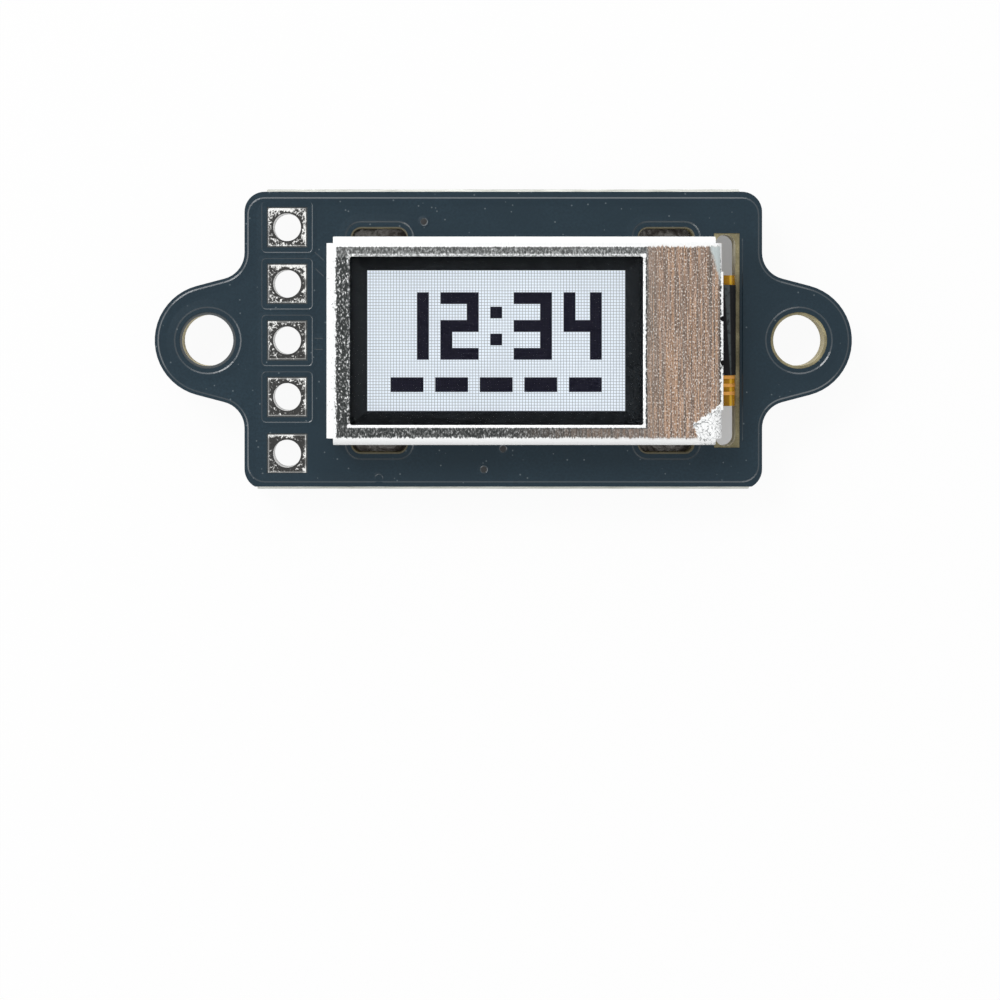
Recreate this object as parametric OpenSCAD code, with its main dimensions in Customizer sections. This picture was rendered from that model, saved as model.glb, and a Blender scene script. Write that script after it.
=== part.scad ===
// Small colour display module on a carrier board, in millimetres.
// The board has two mounting ears, a row of plated header holes and a slot for the display's flex tail.
// A folded metal bezel holds the display stack on the front, and its four tabs are soldered at the rear.
// Origin: midway between the mounting holes, on the rear face of the bare board. +Z leaves the screen.

/* [Board] */
// Thickness of the bare board
board_t = 1.2; // [0.8:0.1:1.6]
// Board beyond the flex slot at the right side
slot_margin = 1.2; // [0.9:0.05:2]
// Board beyond the outermost land along each long edge, up to the score line
land_margin = 0.74; // [0.4:0.01:1.2]
// Corner radius of the board body
corner_r = 0.9; // [0.4:0.05:1.4]
// How much less board the snapped lower score line leaves
snap_trim = 0.11; // [0.02:0.01:0.3]
// Depth of the score groove on each face
score_depth = 0.35; // [0.2:0.05:0.35]
// Reach of the broken ridge beyond the edge of each face
score_run = 0.12; // [0.05:0.01:0.2]
// Corner arc to the end of the broken ridge
score_end = 0.1; // [0.05:0.05:0.5]
// Thickness of the solder mask
mask_t = 0.03; // [0.02:0.01:0.05]
// Gap from the mask to a bare land
mask_gap = 0.06; // [0.03:0.01:0.08]
// Gap from the mask to a mounting hole
mask_hole_gap = 0.12; // [0.05:0.01:0.3]
// Gap from the mask to the outer side of the flex slot
mask_slot_gap = 0.19; // [0.05:0.01:0.4]
// Height of a bare land above the mask
land_proud = 0.01; // [0.01:0.01:0.03]

/* [Mounting ears] */
// Board side to the middle of the ear's arc
ear_reach = 1.5; // [1:0.05:2.5]
// Radius of the ear's arc
ear_r = 2.53; // [2:0.01:3.2]
// Slope of the ear's flanks in degrees
ear_slope = 14.7; // [8:0.1:25]
// Radius of the fillet between flank and board side
ear_fillet = 1.2; // [0.6:0.05:1.6]
// Board side to the middle of the mounting hole
hole_reach = 1.65; // [1.4:0.05:2]
// Diameter of a mounting hole
hole_d = 2.3; // [2:0.05:3]

/* [Header] */
// Number of header holes
header_count = 5; // [2:1:5]
// Distance between header holes
header_pitch = 2.54; // [2:0.01:2.6]
// Board side to the row of header holes
header_edge = 1.91; // [1.2:0.01:2.4]
// Row of header holes to the bezel
header_gap = 1.84; // [1.5:0.01:2.6]
// Finished diameter of a header hole
header_hole_d = 1.25; // [0.9:0.05:1.3]
// Side of a square header land
header_land = 1.7; // [1.5:0.05:1.9]
// Wall of the plating in a header hole
plating_t = 0.05; // [0.03:0.01:0.08]

/* [Screen] */
// Distance between pixels
pixel_pitch = 0.13; // [0.125:0.001:0.135]
// Pixels across the screen
pixel_cols = 88; // [80:1:96]
// Pixels up the screen
pixel_rows = 48; // [44:1:52]
// Black border left and right of the pixels
border_x = 0.75; // [0.5:0.01:1.2]
// Black border above and below the pixels
border_y = 0.6; // [0.4:0.01:0.9]
// Width of a digit on the screen, in pixels
digit_cols = 13; // [9:1:13]
// Height of a digit on the screen, in pixels
digit_rows = 23; // [15:2:25]
// Line of a digit on the screen, in pixels
stroke_cols = 4; // [2:1:4]
// Space between digits on the screen, in pixels
gap_cols = 4; // [2:1:4]
// Middle of the digits above the middle of the screen, in pixels
rise_rows = 5; // [2:1:6]
// Height of the bar under the digits, in pixels
bar_rows = 5; // [2:1:5]
// Space between the digits and the bar, in pixels
bar_gap_rows = 6; // [3:1:6]
// Number of blocks in the bar
bar_count = 5; // [2:1:8]

/* [Bezel] */
// Thickness of the sheet metal
sheet_t = 0.2; // [0.15:0.01:0.25]
// Inner radius of the folds
bend_inner = 0.1; // [0.05:0.01:0.15]
// Face of the bezel left of the window
rim_left = 1.04; // [0.8:0.01:1.4]
// Face of the bezel right of the window
rim_right = 3.49; // [3.1:0.01:4]
// Face of the bezel above and below the window
rim_long = 0.885; // [0.7:0.005:1.1]
// Corner radius of the window
window_r = 0.1; // [0.05:0.05:0.4]
// Chamfer round the window's upper edge
window_edge = 0.08; // [0.03:0.01:0.12]
// Reach of the flat lip over the flex
lip_reach = 0.03; // [0.02:0.01:0.15]
// Radius of the two notches in the lip
notch_r = 0.12; // [0.06:0.01:0.2]
// Distance from the middle of the lip to each notch
notch_y = 0.97; // [0.6:0.01:1.6]
// Width of a soldered tab
tab_w = 1.6; // [1.2:0.05:1.8]
// Bezel end to the middle of the nearest tab
tab_inset = 2.3; // [1.8:0.05:3]
// Length of a tab beyond the board's rear face
tab_proud = 0.4; // [0.3:0.02:0.5]
// How far a tab's end stands outside its root
tab_flare = 0.14; // [0:0.01:0.2]
// Length of a tab slot
tab_slot_l = 2.45; // [2.2:0.05:2.6]
// Width of a tab slot
tab_slot_w = 0.8; // [0.75:0.01:0.9]
// How far a tab slot sits outside its tab
tab_slot_shift = 0.13; // [0.1:0.01:0.27]
// Length of the land round a tab slot
tab_land_l = 2.95; // [2.8:0.05:3.2]
// Width of the land round a tab slot
tab_land_w = 2.03; // [1.5:0.01:2.1]
// Height of the solder over a tab
mound_h = 0.36; // [0.2:0.01:0.38]

/* [Display stack] */
// Gap between the display stack and the bezel walls
fit_gap = 0.05; // [0.02:0.01:0.1]
// Gap between the front polarizer and the bezel face
stack_gap = 0.04; // [0.02:0.01:0.1]
// Thickness of the tape under the display
tape_t = 0.1; // [0.05:0.01:0.2]
// Thickness of the reflector sheet
reflector_t = 0.06; // [0.04:0.01:0.1]
// Thickness of the light guide
guide_t = 0.45; // [0.4:0.01:0.6]
// Light guide beyond the pixels on each side
guide_lap = 0.35; // [0.2:0.01:0.5]
// Thickness of the diffuser sheet
diffuser_t = 0.06; // [0.04:0.01:0.1]
// Thickness of each prism sheet
prism_t = 0.06; // [0.04:0.01:0.1]
// Thickness of the rim tape
rim_tape_t = 0.05; // [0.03:0.01:0.08]
// Rim tape opening beyond the pixels on each side
rim_tape_lap = 0.15; // [0.05:0.01:0.3]
// Thickness of each polarizer
polarizer_t = 0.12; // [0.1:0.01:0.16]
// Polarizer beyond the window on each side
polarizer_lap = 0.3; // [0.1:0.01:0.35]
// Thickness of each glass
glass_t = 0.3; // [0.2:0.01:0.4]
// Thickness of the pixel layer between the glasses
cell_t = 0.02; // [0.01:0.01:0.04]
// Front glass beyond the window at the right
glass_lap = 0.6; // [0.4:0.05:0.8]
// Bezel end to the end of the rear glass
glass_setback = 0.75; // [0.6:0.05:0.9]
// Width of the driver chip across the ledge
driver_w = 0.75; // [0.5:0.05:0.8]
// Length of the driver chip along the ledge
driver_l = 6; // [4:0.1:7]
// Height of the driver chip
driver_h = 0.25; // [0.15:0.01:0.3]
// Front glass to the driver chip
driver_gap = 0.3; // [0.15:0.01:0.4]
// Length of one light source along the guide's edge
led_l = 1.6; // [1.2:0.1:2]
// Depth of one light source
led_d = 0.55; // [0.4:0.01:0.7]
// Height of one light source
led_h = 0.45; // [0.3:0.01:0.5]
// Distance between the two light sources
led_pitch = 2.6; // [2.2:0.1:3.4]
// Thickness of the strip over the light sources
strip_t = 0.08; // [0.05:0.01:0.1]

/* [Flex tail] */
// Width of the flex slot in the board
slot_w = 0.9; // [0.8:0.02:1.2]
// Length of the flex slot in the board
slot_l = 9.5; // [9:0.05:9.8]
// How far the bezel overlaps the flex slot
slot_under = 0.1; // [0.02:0.01:0.15]
// Thickness of the flex film
film_t = 0.1; // [0.06:0.01:0.12]
// Thickness of the conductors on the film
wire_t = 0.02; // [0.01:0.005:0.03]
// Thickness of the black cover over the bend
cover_t = 0.03; // [0.02:0.005:0.04]
// Upper end of the black cover from the middle line
cover_top = 2.47; // [2:0.01:2.7]
// Lower end of the black cover from the middle line
cover_bottom = 1.53; // [1:0.01:2.4]
// Gap between the covered flex and the outer slot wall
slot_gap = 0.06; // [0.05:0.01:0.2]
// Width of the flex through the slot
neck_w = 5.8; // [5.4:0.05:6]
// Gap between the flex and the bezel's end walls
neck_gap = 0.15; // [0.08:0.01:0.3]
// Length of the flex at the rear
tail_l = 6.9; // [6.6:0.05:7.2]
// Corner radius of the flex at the rear
tail_r = 0.35; // [0.1:0.05:0.8]
// Length bonded to the rear glass
bond_l = 0.7; // [0.4:0.05:0.8]
// Bend radius at the front
bend_front = 0.7; // [0.5:0.05:0.9]
// Bend radius at the rear
bend_rear = 0.4; // [0.3:0.02:0.45]
// Gap between the flex and the solder mounds that it crosses
tail_gap = 0.03; // [0.02:0.01:0.1]
// Gap between the flex and the tab ends beside it
tail_side = 0.07; // [0.01:0.01:0.1]
// Tab middle to the start of the flex's slope
slope_lead = 0.9; // [0.7:0.05:1]
// Angle of the slope down to the lands in degrees
slope_angle = 16; // [14:0.5:18]
// Bend radius at both ends of the slope
slope_r = 2.5; // [1.5:0.1:2.8]
// Diameter of the two tooling holes
tooling_d = 0.75; // [0.5:0.05:0.9]
// Tooling hole to the flex slot
tooling_x = 0.85; // [0.7:0.01:1]
// Distance between the tooling holes
tooling_pitch = 6.24; // [5.9:0.02:6.6]
// Gold ring round each tooling hole
tooling_ring = 0.1; // [0.05:0.01:0.15]
// Number of conductors
wire_count = 14; // [10:1:14]
// Edge of the flex to the outermost joint
pad_edge = 0.18; // [0.1:0.01:0.3]
// Width of a conductor on the lands
pad_w = 0.34; // [0.25:0.01:0.4]
// Distance between conductors in the neck
neck_pitch = 0.36; // [0.3:0.005:0.37]
// Width of a conductor in the neck
neck_wire_w = 0.15; // [0.08:0.01:0.2]
// Length of the fan between the two pitches
fan_l = 1.25; // [0.8:0.05:1.4]
// Start of the slope to the wide end of the fan
fan_lead = 0.2; // [0.18:0.01:0.25]
// Length of a land beyond the flex
land_out = 1.05; // [0.8:0.05:1.4]
// Length of a land under the flex
land_in = 0.25; // [0.1:0.05:0.5]
// Bare end of the conductors between the solder and the slope
joint_gap = 0.03; // [0.02:0.01:0.4]
// Width of a solder joint
joint_w = 0.44; // [0.36:0.01:0.48]
// Height of the solder above the conductor
joint_h = 0.1; // [0.05:0.01:0.2]

/* [Chips] */
// Flex lands to the column of chips
chip_offset = 3.34; // [3:0.02:3.6]
// Distance between chips in the column
chip_pitch = 1.635; // [1.55:0.005:1.66]
// Middle of the column above the middle of the board
chip_shift = 0.115; // [0:0.005:0.2]
// Length of a chip
chip_l = 1.6; // [1.4:0.05:1.7]
// Width of a chip
chip_w = 0.8; // [0.6:0.02:0.9]
// Height of a capacitor
capacitor_h = 0.8; // [0.5:0.02:0.9]
// Height of a resistor
resistor_h = 0.45; // [0.35:0.01:0.6]
// Length of a terminal on a chip
terminal_l = 0.32; // [0.2:0.01:0.4]
// Thickness of a terminal
terminal_t = 0.03; // [0.02:0.005:0.04]
// Rounding of a capacitor's edges
chip_r = 0.07; // [0.03:0.01:0.1]
// Thickness of the dark coat on a resistor
coat_t = 0.02; // [0.01:0.005:0.03]
// Land beyond the end of a chip
chip_land_out = 0.36; // [0.25:0.01:0.45]
// Land under the end of a chip
chip_land_in = 0.38; // [0.25:0.01:0.45]
// Land beside a chip on each side
chip_land_side = 0.07; // [0.02:0.01:0.12]
// Foot of a solder fillet on a land
fillet_foot = 0.3; // [0.15:0.01:0.32]
// Height of a solder fillet
fillet_h = 0.34; // [0.2:0.01:0.36]

/* [Regulator] */
// Column of chips to the regulator
regulator_offset = 3.74; // [3.6:0.02:3.9]
// Middle of the regulator below the middle of the board
regulator_drop = 1.97; // [1.9:0.01:2]
// Capacitor beside the regulator above the middle of the board
partner_rise = 0.89; // [0.7:0.01:1.4]
// Length of the regulator's body
regulator_l = 2.86; // [2.7:0.02:2.9]
// Width of the regulator's body
regulator_w = 1.4; // [1.2:0.02:1.5]
// Height of the regulator's body
regulator_h = 1; // [0.8:0.02:1.1]
// Gap under the regulator's body
regulator_gap = 0.08; // [0.04:0.01:0.15]
// Draft of the moulded sides in degrees
draft = 8; // [3:0.5:10]
// Distance between the two leads on one side
lead_pitch = 1.9; // [1.7:0.02:2]
// Width of a lead
lead_w = 0.42; // [0.3:0.01:0.5]
// Thickness of a lead
lead_t = 0.12; // [0.1:0.01:0.15]
// Straight length of a lead beside the body
lead_out = 0.12; // [0.05:0.01:0.2]
// Bend radius of a lead
lead_r = 0.14; // [0.12:0.01:0.16]
// Length of a lead's foot
lead_foot = 0.28; // [0.15:0.01:0.35]
// Foot of the solder fillet at a lead's end
lead_fillet = 0.2; // [0.1:0.01:0.25]

/* [Legend] */
// Thickness of the legend ink
ink_t = 0.02; // [0.01:0.005:0.03]
// Width of a legend line
ink_w = 0.15; // [0.1:0.01:0.16]
// Length of the dash between header lands
dash_l = 0.42; // [0.3:0.01:0.44]
// Gap between the bracket and the regulator's body
bracket_gap = 0.04; // [0.02:0.01:0.06]
// Length of the bracket's long leg
bracket_leg = 0.95; // [0.5:0.01:1]

/* [Hidden] */
$fn = 48;

// Small overlap that carries a cut through a face
cut = 0.1;
// Fold radius on the outside of the sheet
bend_r = bend_inner + sheet_t;
// Land thickness, from the bare board
land_t = mask_t + land_proud;

// Screen and bezel outline
screen_w = pixel_pitch * pixel_cols;
screen_h = pixel_pitch * pixel_rows;
window_w = screen_w + 2 * border_x;
window_h = screen_h + 2 * border_y;
can_l = rim_left + window_w + rim_right;
can_w = window_h + 2 * rim_long;

// Board outline, with its middle at the origin
board_w = header_edge + header_gap + can_l - slot_under + slot_w + slot_margin;
header_reach = ((header_count - 1) * header_pitch + header_land) / 2;
tab_reach = can_w / 2 - sheet_t / 2 + tab_slot_shift + tab_land_w / 2;
board_h = 2 * (max(header_reach, tab_reach) + land_margin);
hole_x = board_w / 2 + hole_reach;

// Places along the board
header_x = -board_w / 2 + header_edge;
can_x0 = header_x + header_gap;
can_x1 = can_x0 + can_l;
window_x0 = can_x0 + rim_left;
window_x1 = window_x0 + window_w;
screen_x = (window_x0 + window_x1) / 2;
slot_x0 = can_x1 - slot_under;
slot_x1 = slot_x0 + slot_w;
tab_xs = [can_x0 + tab_inset, can_x1 - tab_inset];
tab_y = can_w / 2 - sheet_t / 2;
tab_slot_y = tab_y + tab_slot_shift;

// Heights of the display stack, from the tape upwards
face_z = board_t + mask_t;
reflector_z = face_z + tape_t;
guide_z = reflector_z + reflector_t;
diffuser_z = guide_z + guide_t;
prism_lower_z = diffuser_z + diffuser_t;
prism_upper_z = prism_lower_z + prism_t;
rim_tape_z = prism_upper_z + prism_t;
rear_polarizer_z = rim_tape_z + rim_tape_t;
rear_glass_z = rear_polarizer_z + polarizer_t;
cell_z = rear_glass_z + glass_t;
front_glass_z = cell_z + cell_t;
front_polarizer_z = front_glass_z + glass_t;
can_top = front_polarizer_z + polarizer_t + stack_gap + sheet_t;

// Display stack outline inside the bezel
stack_x0 = can_x0 + sheet_t + fit_gap;
stack_x1 = can_x1 - sheet_t - fit_gap;
stack_y = can_w / 2 - sheet_t - fit_gap;
glass_x1 = can_x1 - glass_setback;
front_glass_x1 = window_x1 + glass_lap;
guide_x0 = screen_x - screen_w / 2 - guide_lap;
guide_x1 = screen_x + screen_w / 2 + guide_lap;
guide_y = screen_h / 2 + guide_lap;
led_x0 = guide_x1 + fit_gap;
led_row_l = led_pitch + led_l;

// Route of the flex, along the middle of its film: over the glass, down the slot and back under the board
tail_x1 = slot_x0;
tail_x0 = tail_x1 - tail_l;
tail_w = 2 * (tab_y + tab_flare - sheet_t / 2 - tail_side);
pad_pitch = (tail_w - joint_w - 2 * pad_edge) / (wire_count - 1);
flex_x = slot_x1 - slot_gap - cover_t - wire_t - film_t / 2;
bond_x = glass_x1 - bond_l;
top_x = flex_x - bend_front;
top_z = cell_z + film_t / 2;
flat_z = -(mound_h + tail_gap + film_t / 2);
end_z = -(land_t + film_t / 2);
slope_x = tab_xs[1] - slope_lead;
slope_rise = end_z - flat_z;
slope_len = (slope_rise - 2 * slope_r * (1 - cos(slope_angle))) / sin(slope_angle);
slope_start = [slope_x - slope_r * sin(slope_angle), flat_z + slope_r * (1 - cos(slope_angle))];
slope_end = slope_start + slope_len * [-cos(slope_angle), sin(slope_angle)];
// Middle of the upper bend, and the flat end beyond it
slope_top = slope_end - slope_r * [sin(slope_angle), cos(slope_angle)];
end_x = slope_top[0];
// Flats along each bend of the slope
slope_steps = 5;
fan_x0 = slope_x + fan_lead;
fan_x1 = fan_x0 + fan_l;
tooling_at = slot_x0 - tooling_x;

// Places of the small parts at the rear
chip_x = tail_x0 - land_out - chip_offset;
regulator_x = chip_x - regulator_offset;
chip_count = 7;
function chip_y(i) = chip_shift + ((chip_count - 1) / 2 - i) * chip_pitch;
capacitor_places = [[chip_x, chip_y(0)], [chip_x, chip_y(1)], [chip_x, chip_y(6)], [regulator_x, partner_rise]];
resistor_places = [for (i = [2 : 5]) [chip_x, chip_y(i)]];
chip_places = concat(capacitor_places, resistor_places);
lead_z = land_t + regulator_gap + regulator_h / 2;
lead_span = lead_out + 2 * lead_r + lead_foot;
// Side of the body, then the place along it
lead_places = [[1, lead_pitch / 2], [1, -lead_pitch / 2], [-1, 0]];

// Shared shapes

// Heights counted from the rear face, away from the board
module rear_side() {
  mirror([0, 0, 1])
    children();
}

module both_ways() {
  children();
  mirror([0, 1, 0])
    children();
}

// Flat piece between two X places, centred across the board
module slab(x0, x1, half_y, z, t) {
  translate([x0, -half_y, z])
    cube([x1 - x0, 2 * half_y, t]);
}

module rounded_rect(w, h, r) {
  square([w - 2 * r, h], center = true);
  square([w, h - 2 * r], center = true);
  for (sx = [-1, 1], sy = [-1, 1])
    translate([sx * (w / 2 - r), sy * (h / 2 - r)])
      circle(r);
}

// Slot with round ends, along X
module round_slot(l, w) {
  square([l - w, w], center = true);
  for (s = [-1, 1])
    translate([s * (l - w) / 2, 0])
      circle(w / 2);
}

// Part of a ring of middle radius r and width t between two angles, at most a quarter turn
module band(centre, r, t, a0, a1) {
  far = 2 * (r + t);
  mid = (a0 + a1) / 2;
  translate(centre)
    intersection() {
      difference() {
        circle(r + t / 2);
        circle(r - t / 2);
      }
      polygon([[0, 0], far * [cos(a0), sin(a0)], far * [cos(mid), sin(mid)], far * [cos(a1), sin(a1)]]);
    }
}

// Segment of a circle that stands on a chord of width w
module cap_2d(w, h) {
  r = (w * w / 4 + h * h) / (2 * h);
  intersection() {
    translate([0, h - r])
      circle(r);
    translate([-w / 2, 0])
      square([w, h]);
  }
}

module right_half(reach) {
  intersection() {
    children();
    translate([0, -reach])
      square([reach, 2 * reach]);
  }
}

// Upright profile run along X, or along Y
module run_x(l) {
  rotate([90, 0, 90])
    linear_extrude(l)
      children();
}

module run_y(l) {
  rotate([90, 0, 0])
    linear_extrude(l, center = true)
      children();
}

// Board

// Right ear, measured from the board's side
module ear_2d() {
  flank_y = (ear_r + ear_reach * sin(ear_slope)) / cos(ear_slope);
  touch = [ear_reach + ear_r * sin(ear_slope), ear_r * cos(ear_slope)];
  fillet_y = flank_y - ear_fillet * tan(ear_slope) + ear_fillet / cos(ear_slope);
  fillet_end = [ear_fillet * (1 - sin(ear_slope)), fillet_y - ear_fillet * cos(ear_slope)];
  inside = -ear_fillet;
  translate([ear_reach, 0])
    circle(ear_r);
  polygon([
    touch, [0, flank_y], [inside, flank_y], [inside, -flank_y], [0, -flank_y], [touch[0], -touch[1]]
  ]);
  both_ways()
    difference() {
      polygon([[0, fillet_y], [inside, fillet_y], [inside, 0], fillet_end]);
      translate([ear_fillet, fillet_y])
        circle(ear_fillet);
    }
}

module board_2d() {
  difference() {
    rounded_rect(board_w, board_h, corner_r);
    translate([-board_w, -1.5 * board_h + snap_trim])
      square([2 * board_w, board_h]);
  }
  for (s = [0, 1])
    mirror([s, 0])
      translate([board_w / 2, 0])
        ear_2d();
}

module header_each() {
  for (i = [0 : header_count - 1])
    translate([header_x, ((header_count - 1) / 2 - i) * header_pitch])
      children();
}

module tab_each() {
  for (x = tab_xs)
    both_ways()
      translate([x, tab_slot_y])
        children();
}

module flex_slot_2d() {
  translate([(slot_x0 + slot_x1) / 2, 0])
    rotate(90)
      round_slot(slot_l, slot_w);
}

// Ridge that a snapped score line leaves beyond the edge at edge_y
module score_ridge(edge_y, l) {
  foot = mask_t;
  ridge_y = edge_y + score_run;
  translate([-l / 2, 0, 0])
    run_x(l)
      polygon([
        [edge_y - cut, foot], [edge_y, foot], [ridge_y, score_depth],
        [ridge_y, board_t - score_depth], [edge_y, board_t - foot], [edge_y - cut, board_t - foot]
      ]);
}

module circuit_board() {
  upper_l = board_w - 2 * (corner_r + score_end);
  lower_l = upper_l + 2 * sqrt(corner_r * corner_r - (corner_r - snap_trim) * (corner_r - snap_trim));
  color("#b6a878")
    difference() {
      union() {
        linear_extrude(board_t)
          board_2d();
        score_ridge(board_h / 2, upper_l);
        mirror([0, 1, 0])
          score_ridge(board_h / 2 - snap_trim, lower_l);
      }
      for (s = [-1, 1])
        translate([s * hole_x, 0, -cut])
          cylinder(d = hole_d, h = board_t + 2 * cut);
      translate([0, 0, -cut])
        linear_extrude(board_t + 2 * cut) {
          header_each()
            circle(d = header_hole_d + 2 * plating_t);
          tab_each()
            round_slot(tab_slot_l, tab_slot_w);
          flex_slot_2d();
        }
    }
}

// Mask on one face: the board's outline, open at holes and slots
module mask_2d() {
  difference() {
    board_2d();
    for (s = [-1, 1])
      translate([s * hole_x, 0])
        circle(d = hole_d + 2 * mask_hole_gap);
    header_each()
      square(header_land + 2 * mask_gap, center = true);
    translate([slot_x0 - mask_gap, -slot_l / 2 - mask_gap])
      square([slot_w + mask_gap + mask_slot_gap, slot_l + 2 * mask_gap]);
    children();
  }
}

module solder_mask_front() {
  color("#2d3943")
    translate([0, 0, board_t])
      linear_extrude(mask_t)
        mask_2d()
          tab_each()
            round_slot(tab_slot_l + 2 * mask_gap, tab_slot_w + 2 * mask_gap);
}

module solder_mask_rear() {
  color("#2d3943")
    rear_side()
      linear_extrude(mask_t)
        mask_2d() {
          tab_each()
            tab_land_2d(mask_gap);
          flex_land_each()
            flex_land_2d(mask_gap);
          chip_land_each()
            chip_land_2d(mask_gap);
          regulator_land_each()
            regulator_land_2d(mask_gap);
        }
}

module header_lands() {
  color("#c9ccc8")
    header_each()
      difference() {
        union() {
          cylinder(d = header_hole_d + 2 * plating_t, h = board_t);
          for (z = [-land_t, board_t])
            translate([-header_land / 2, -header_land / 2, z])
              cube([header_land, header_land, land_t]);
        }
        translate([0, 0, -land_t - cut])
          cylinder(d = header_hole_d, h = board_t + 2 * land_t + 2 * cut);
      }
}

module tab_land_2d(grow) {
  round_slot(tab_land_l + 2 * grow, tab_land_w + 2 * grow);
}

module tab_lands() {
  color("#b9bcb8")
    rear_side()
      linear_extrude(land_t)
        tab_each()
          difference() {
            tab_land_2d(0);
            round_slot(tab_slot_l, tab_slot_w);
          }
}

module flex_land_each() {
  for (i = [0 : wire_count - 1])
    translate([tail_x0, pad_y(i)])
      children();
}

module flex_land_2d(grow) {
  translate([-land_out - grow, -joint_w / 2 - grow])
    square([land_out + land_in + 2 * grow, joint_w + 2 * grow]);
}

module flex_lands() {
  color("#b9bcb8")
    rear_side()
      linear_extrude(land_t)
        flex_land_each()
          flex_land_2d(0);
}

module chip_land_each() {
  for (p = chip_places, s = [0, 1])
    translate(p)
      mirror([s, 0])
        translate([chip_l / 2, 0])
          children();
}

module chip_land_2d(grow) {
  half = chip_w / 2 + chip_land_side + grow;
  translate([-chip_land_in - grow, -half])
    square([chip_land_in + chip_land_out + 2 * grow, 2 * half]);
}

module regulator_land_each() {
  for (p = lead_places)
    translate([regulator_x, -regulator_drop + p[1]])
      mirror([p[0] < 0 ? 1 : 0, 0])
        translate([regulator_w / 2, 0])
          children();
}

module regulator_land_2d(grow) {
  half = lead_w / 2 + chip_land_side + grow;
  start = lead_out + lead_r;
  translate([start - grow, -half])
    square([lead_span - start + chip_land_out + 2 * grow, 2 * half]);
}

module chip_lands() {
  color("#b9bcb8")
    rear_side()
      linear_extrude(land_t) {
        chip_land_each()
          chip_land_2d(0);
        regulator_land_each()
          regulator_land_2d(0);
      }
}

module legend_marks() {
  bracket_x = regulator_x - regulator_w / 2 - bracket_gap - ink_w;
  bracket_y = regulator_l / 2 + bracket_gap;
  color("#e8eae6")
    rear_side()
      translate([0, 0, mask_t])
        linear_extrude(ink_t) {
          for (i = [0 : header_count - 2])
            translate([header_x, ((header_count - 2) / 2 - i) * header_pitch])
              square([ink_w, dash_l], center = true);
          translate([bracket_x, -regulator_drop])
            both_ways() {
              translate([0, bracket_y])
                square([bracket_leg + ink_w, ink_w]);
              translate([0, bracket_y - bracket_leg])
                square([ink_w, bracket_leg]);
            }
        }
}

// Bezel

// Wall and fold of one flange, outer side at x = 0, standing on y = 0
module flange_2d() {
  wall_h = can_top - face_z - bend_r;
  square([sheet_t, wall_h]);
  band([bend_r, wall_h], bend_r - sheet_t / 2, sheet_t, 90, 180);
}

module channel_2d() {
  flat_w = can_w - 2 * bend_r;
  translate([-flat_w / 2, can_top - face_z - sheet_t])
    square([flat_w, sheet_t]);
  for (s = [0, 1])
    mirror([s, 0])
      translate([-can_w / 2, 0])
        flange_2d();
}

// Edge break along one side of the window, at the bezel's face, with the metal towards +Y
module window_break(l) {
  translate([-l / 2, 0, 0])
    run_x(l)
      polygon([[-cut, -window_edge - cut], [window_edge + cut, cut], [-cut, cut]]);
}

// Tabs from the long flanges through the board, leaning outwards
module bezel_tabs() {
  for (x = tab_xs)
    both_ways()
      translate([x - tab_w / 2, tab_y, face_z])
        run_x(tab_w)
          tab_2d();
}

module tab_2d() {
  tab_len = face_z + tab_proud;
  half = sheet_t / 2;
  polygon([
    [half, bend_r], [-half, bend_r], [-half, 0],
    [tab_flare - half, -tab_len], [tab_flare + half, -tab_len], [half, 0]
  ]);
}

module display_bezel() {
  lip_y = neck_w / 2 + neck_gap;
  end_l = can_w / 2 - bend_r - lip_y;
  plate_l = can_l - 2 * bend_r;
  break_end = window_r + window_edge;
  color("#b9b2ac")
    difference() {
      union() {
        translate([can_x0 + bend_r, 0, face_z])
          run_x(plate_l)
            channel_2d();
        translate([can_x0, 0, face_z])
          run_y(can_w - 2 * bend_r)
            flange_2d();
        both_ways()
          translate([can_x1, lip_y + end_l / 2, face_z])
            mirror([1, 0, 0])
              run_y(end_l)
                flange_2d();
        slab(can_x1 - bend_r, can_x1 + lip_reach, lip_y, can_top - sheet_t, sheet_t);
        bezel_tabs();
      }
      translate([screen_x, 0, can_top - sheet_t - cut])
        linear_extrude(sheet_t + 2 * cut)
          rounded_rect(window_w, window_h, window_r);
      translate([screen_x, 0, can_top])
        for (turn = [0, 180])
          rotate(turn) {
            translate([0, window_h / 2, 0])
              window_break(window_w - 2 * break_end);
            rotate(90)
              translate([0, window_w / 2, 0])
                window_break(window_h - 2 * break_end);
          }
      both_ways()
        translate([can_x1 + lip_reach, notch_y, can_top - sheet_t - cut])
          cylinder(r = notch_r, h = sheet_t + 2 * cut);
    }
}

module tab_solder() {
  dome_h = mound_h - land_t;
  straight = tab_land_l - tab_land_w;
  color("#c4c6c4")
    difference() {
      rear_side()
        tab_each()
          translate([0, 0, land_t]) {
            translate([-straight / 2, 0, 0])
              run_x(straight)
                cap_2d(tab_land_w, dome_h);
            for (s = [0, 1])
              mirror([s, 0, 0])
                translate([straight / 2, 0, 0])
                  rotate(-90)
                    rotate_extrude(angle = 180)
                      right_half(tab_land_w)
                        cap_2d(tab_land_w, dome_h);
          }
      bezel_tabs();
    }
}

// Display stack

module front_polarizer() {
  color("#1b1e22", 0.5)
    slab(window_x0 - polarizer_lap, window_x1 + polarizer_lap, window_h / 2 + polarizer_lap,
         front_polarizer_z, polarizer_t);
}

module front_glass() {
  color("#cfe3e0", 0.4)
    slab(stack_x0, front_glass_x1, stack_y, front_glass_z, glass_t);
}

module pixel_layer() {
  color("#e6eef2")
    translate([screen_x, 0, cell_z])
      linear_extrude(cell_t)
        difference() {
          square([screen_w, screen_h], center = true);
          readout_2d();
        }
}

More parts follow.
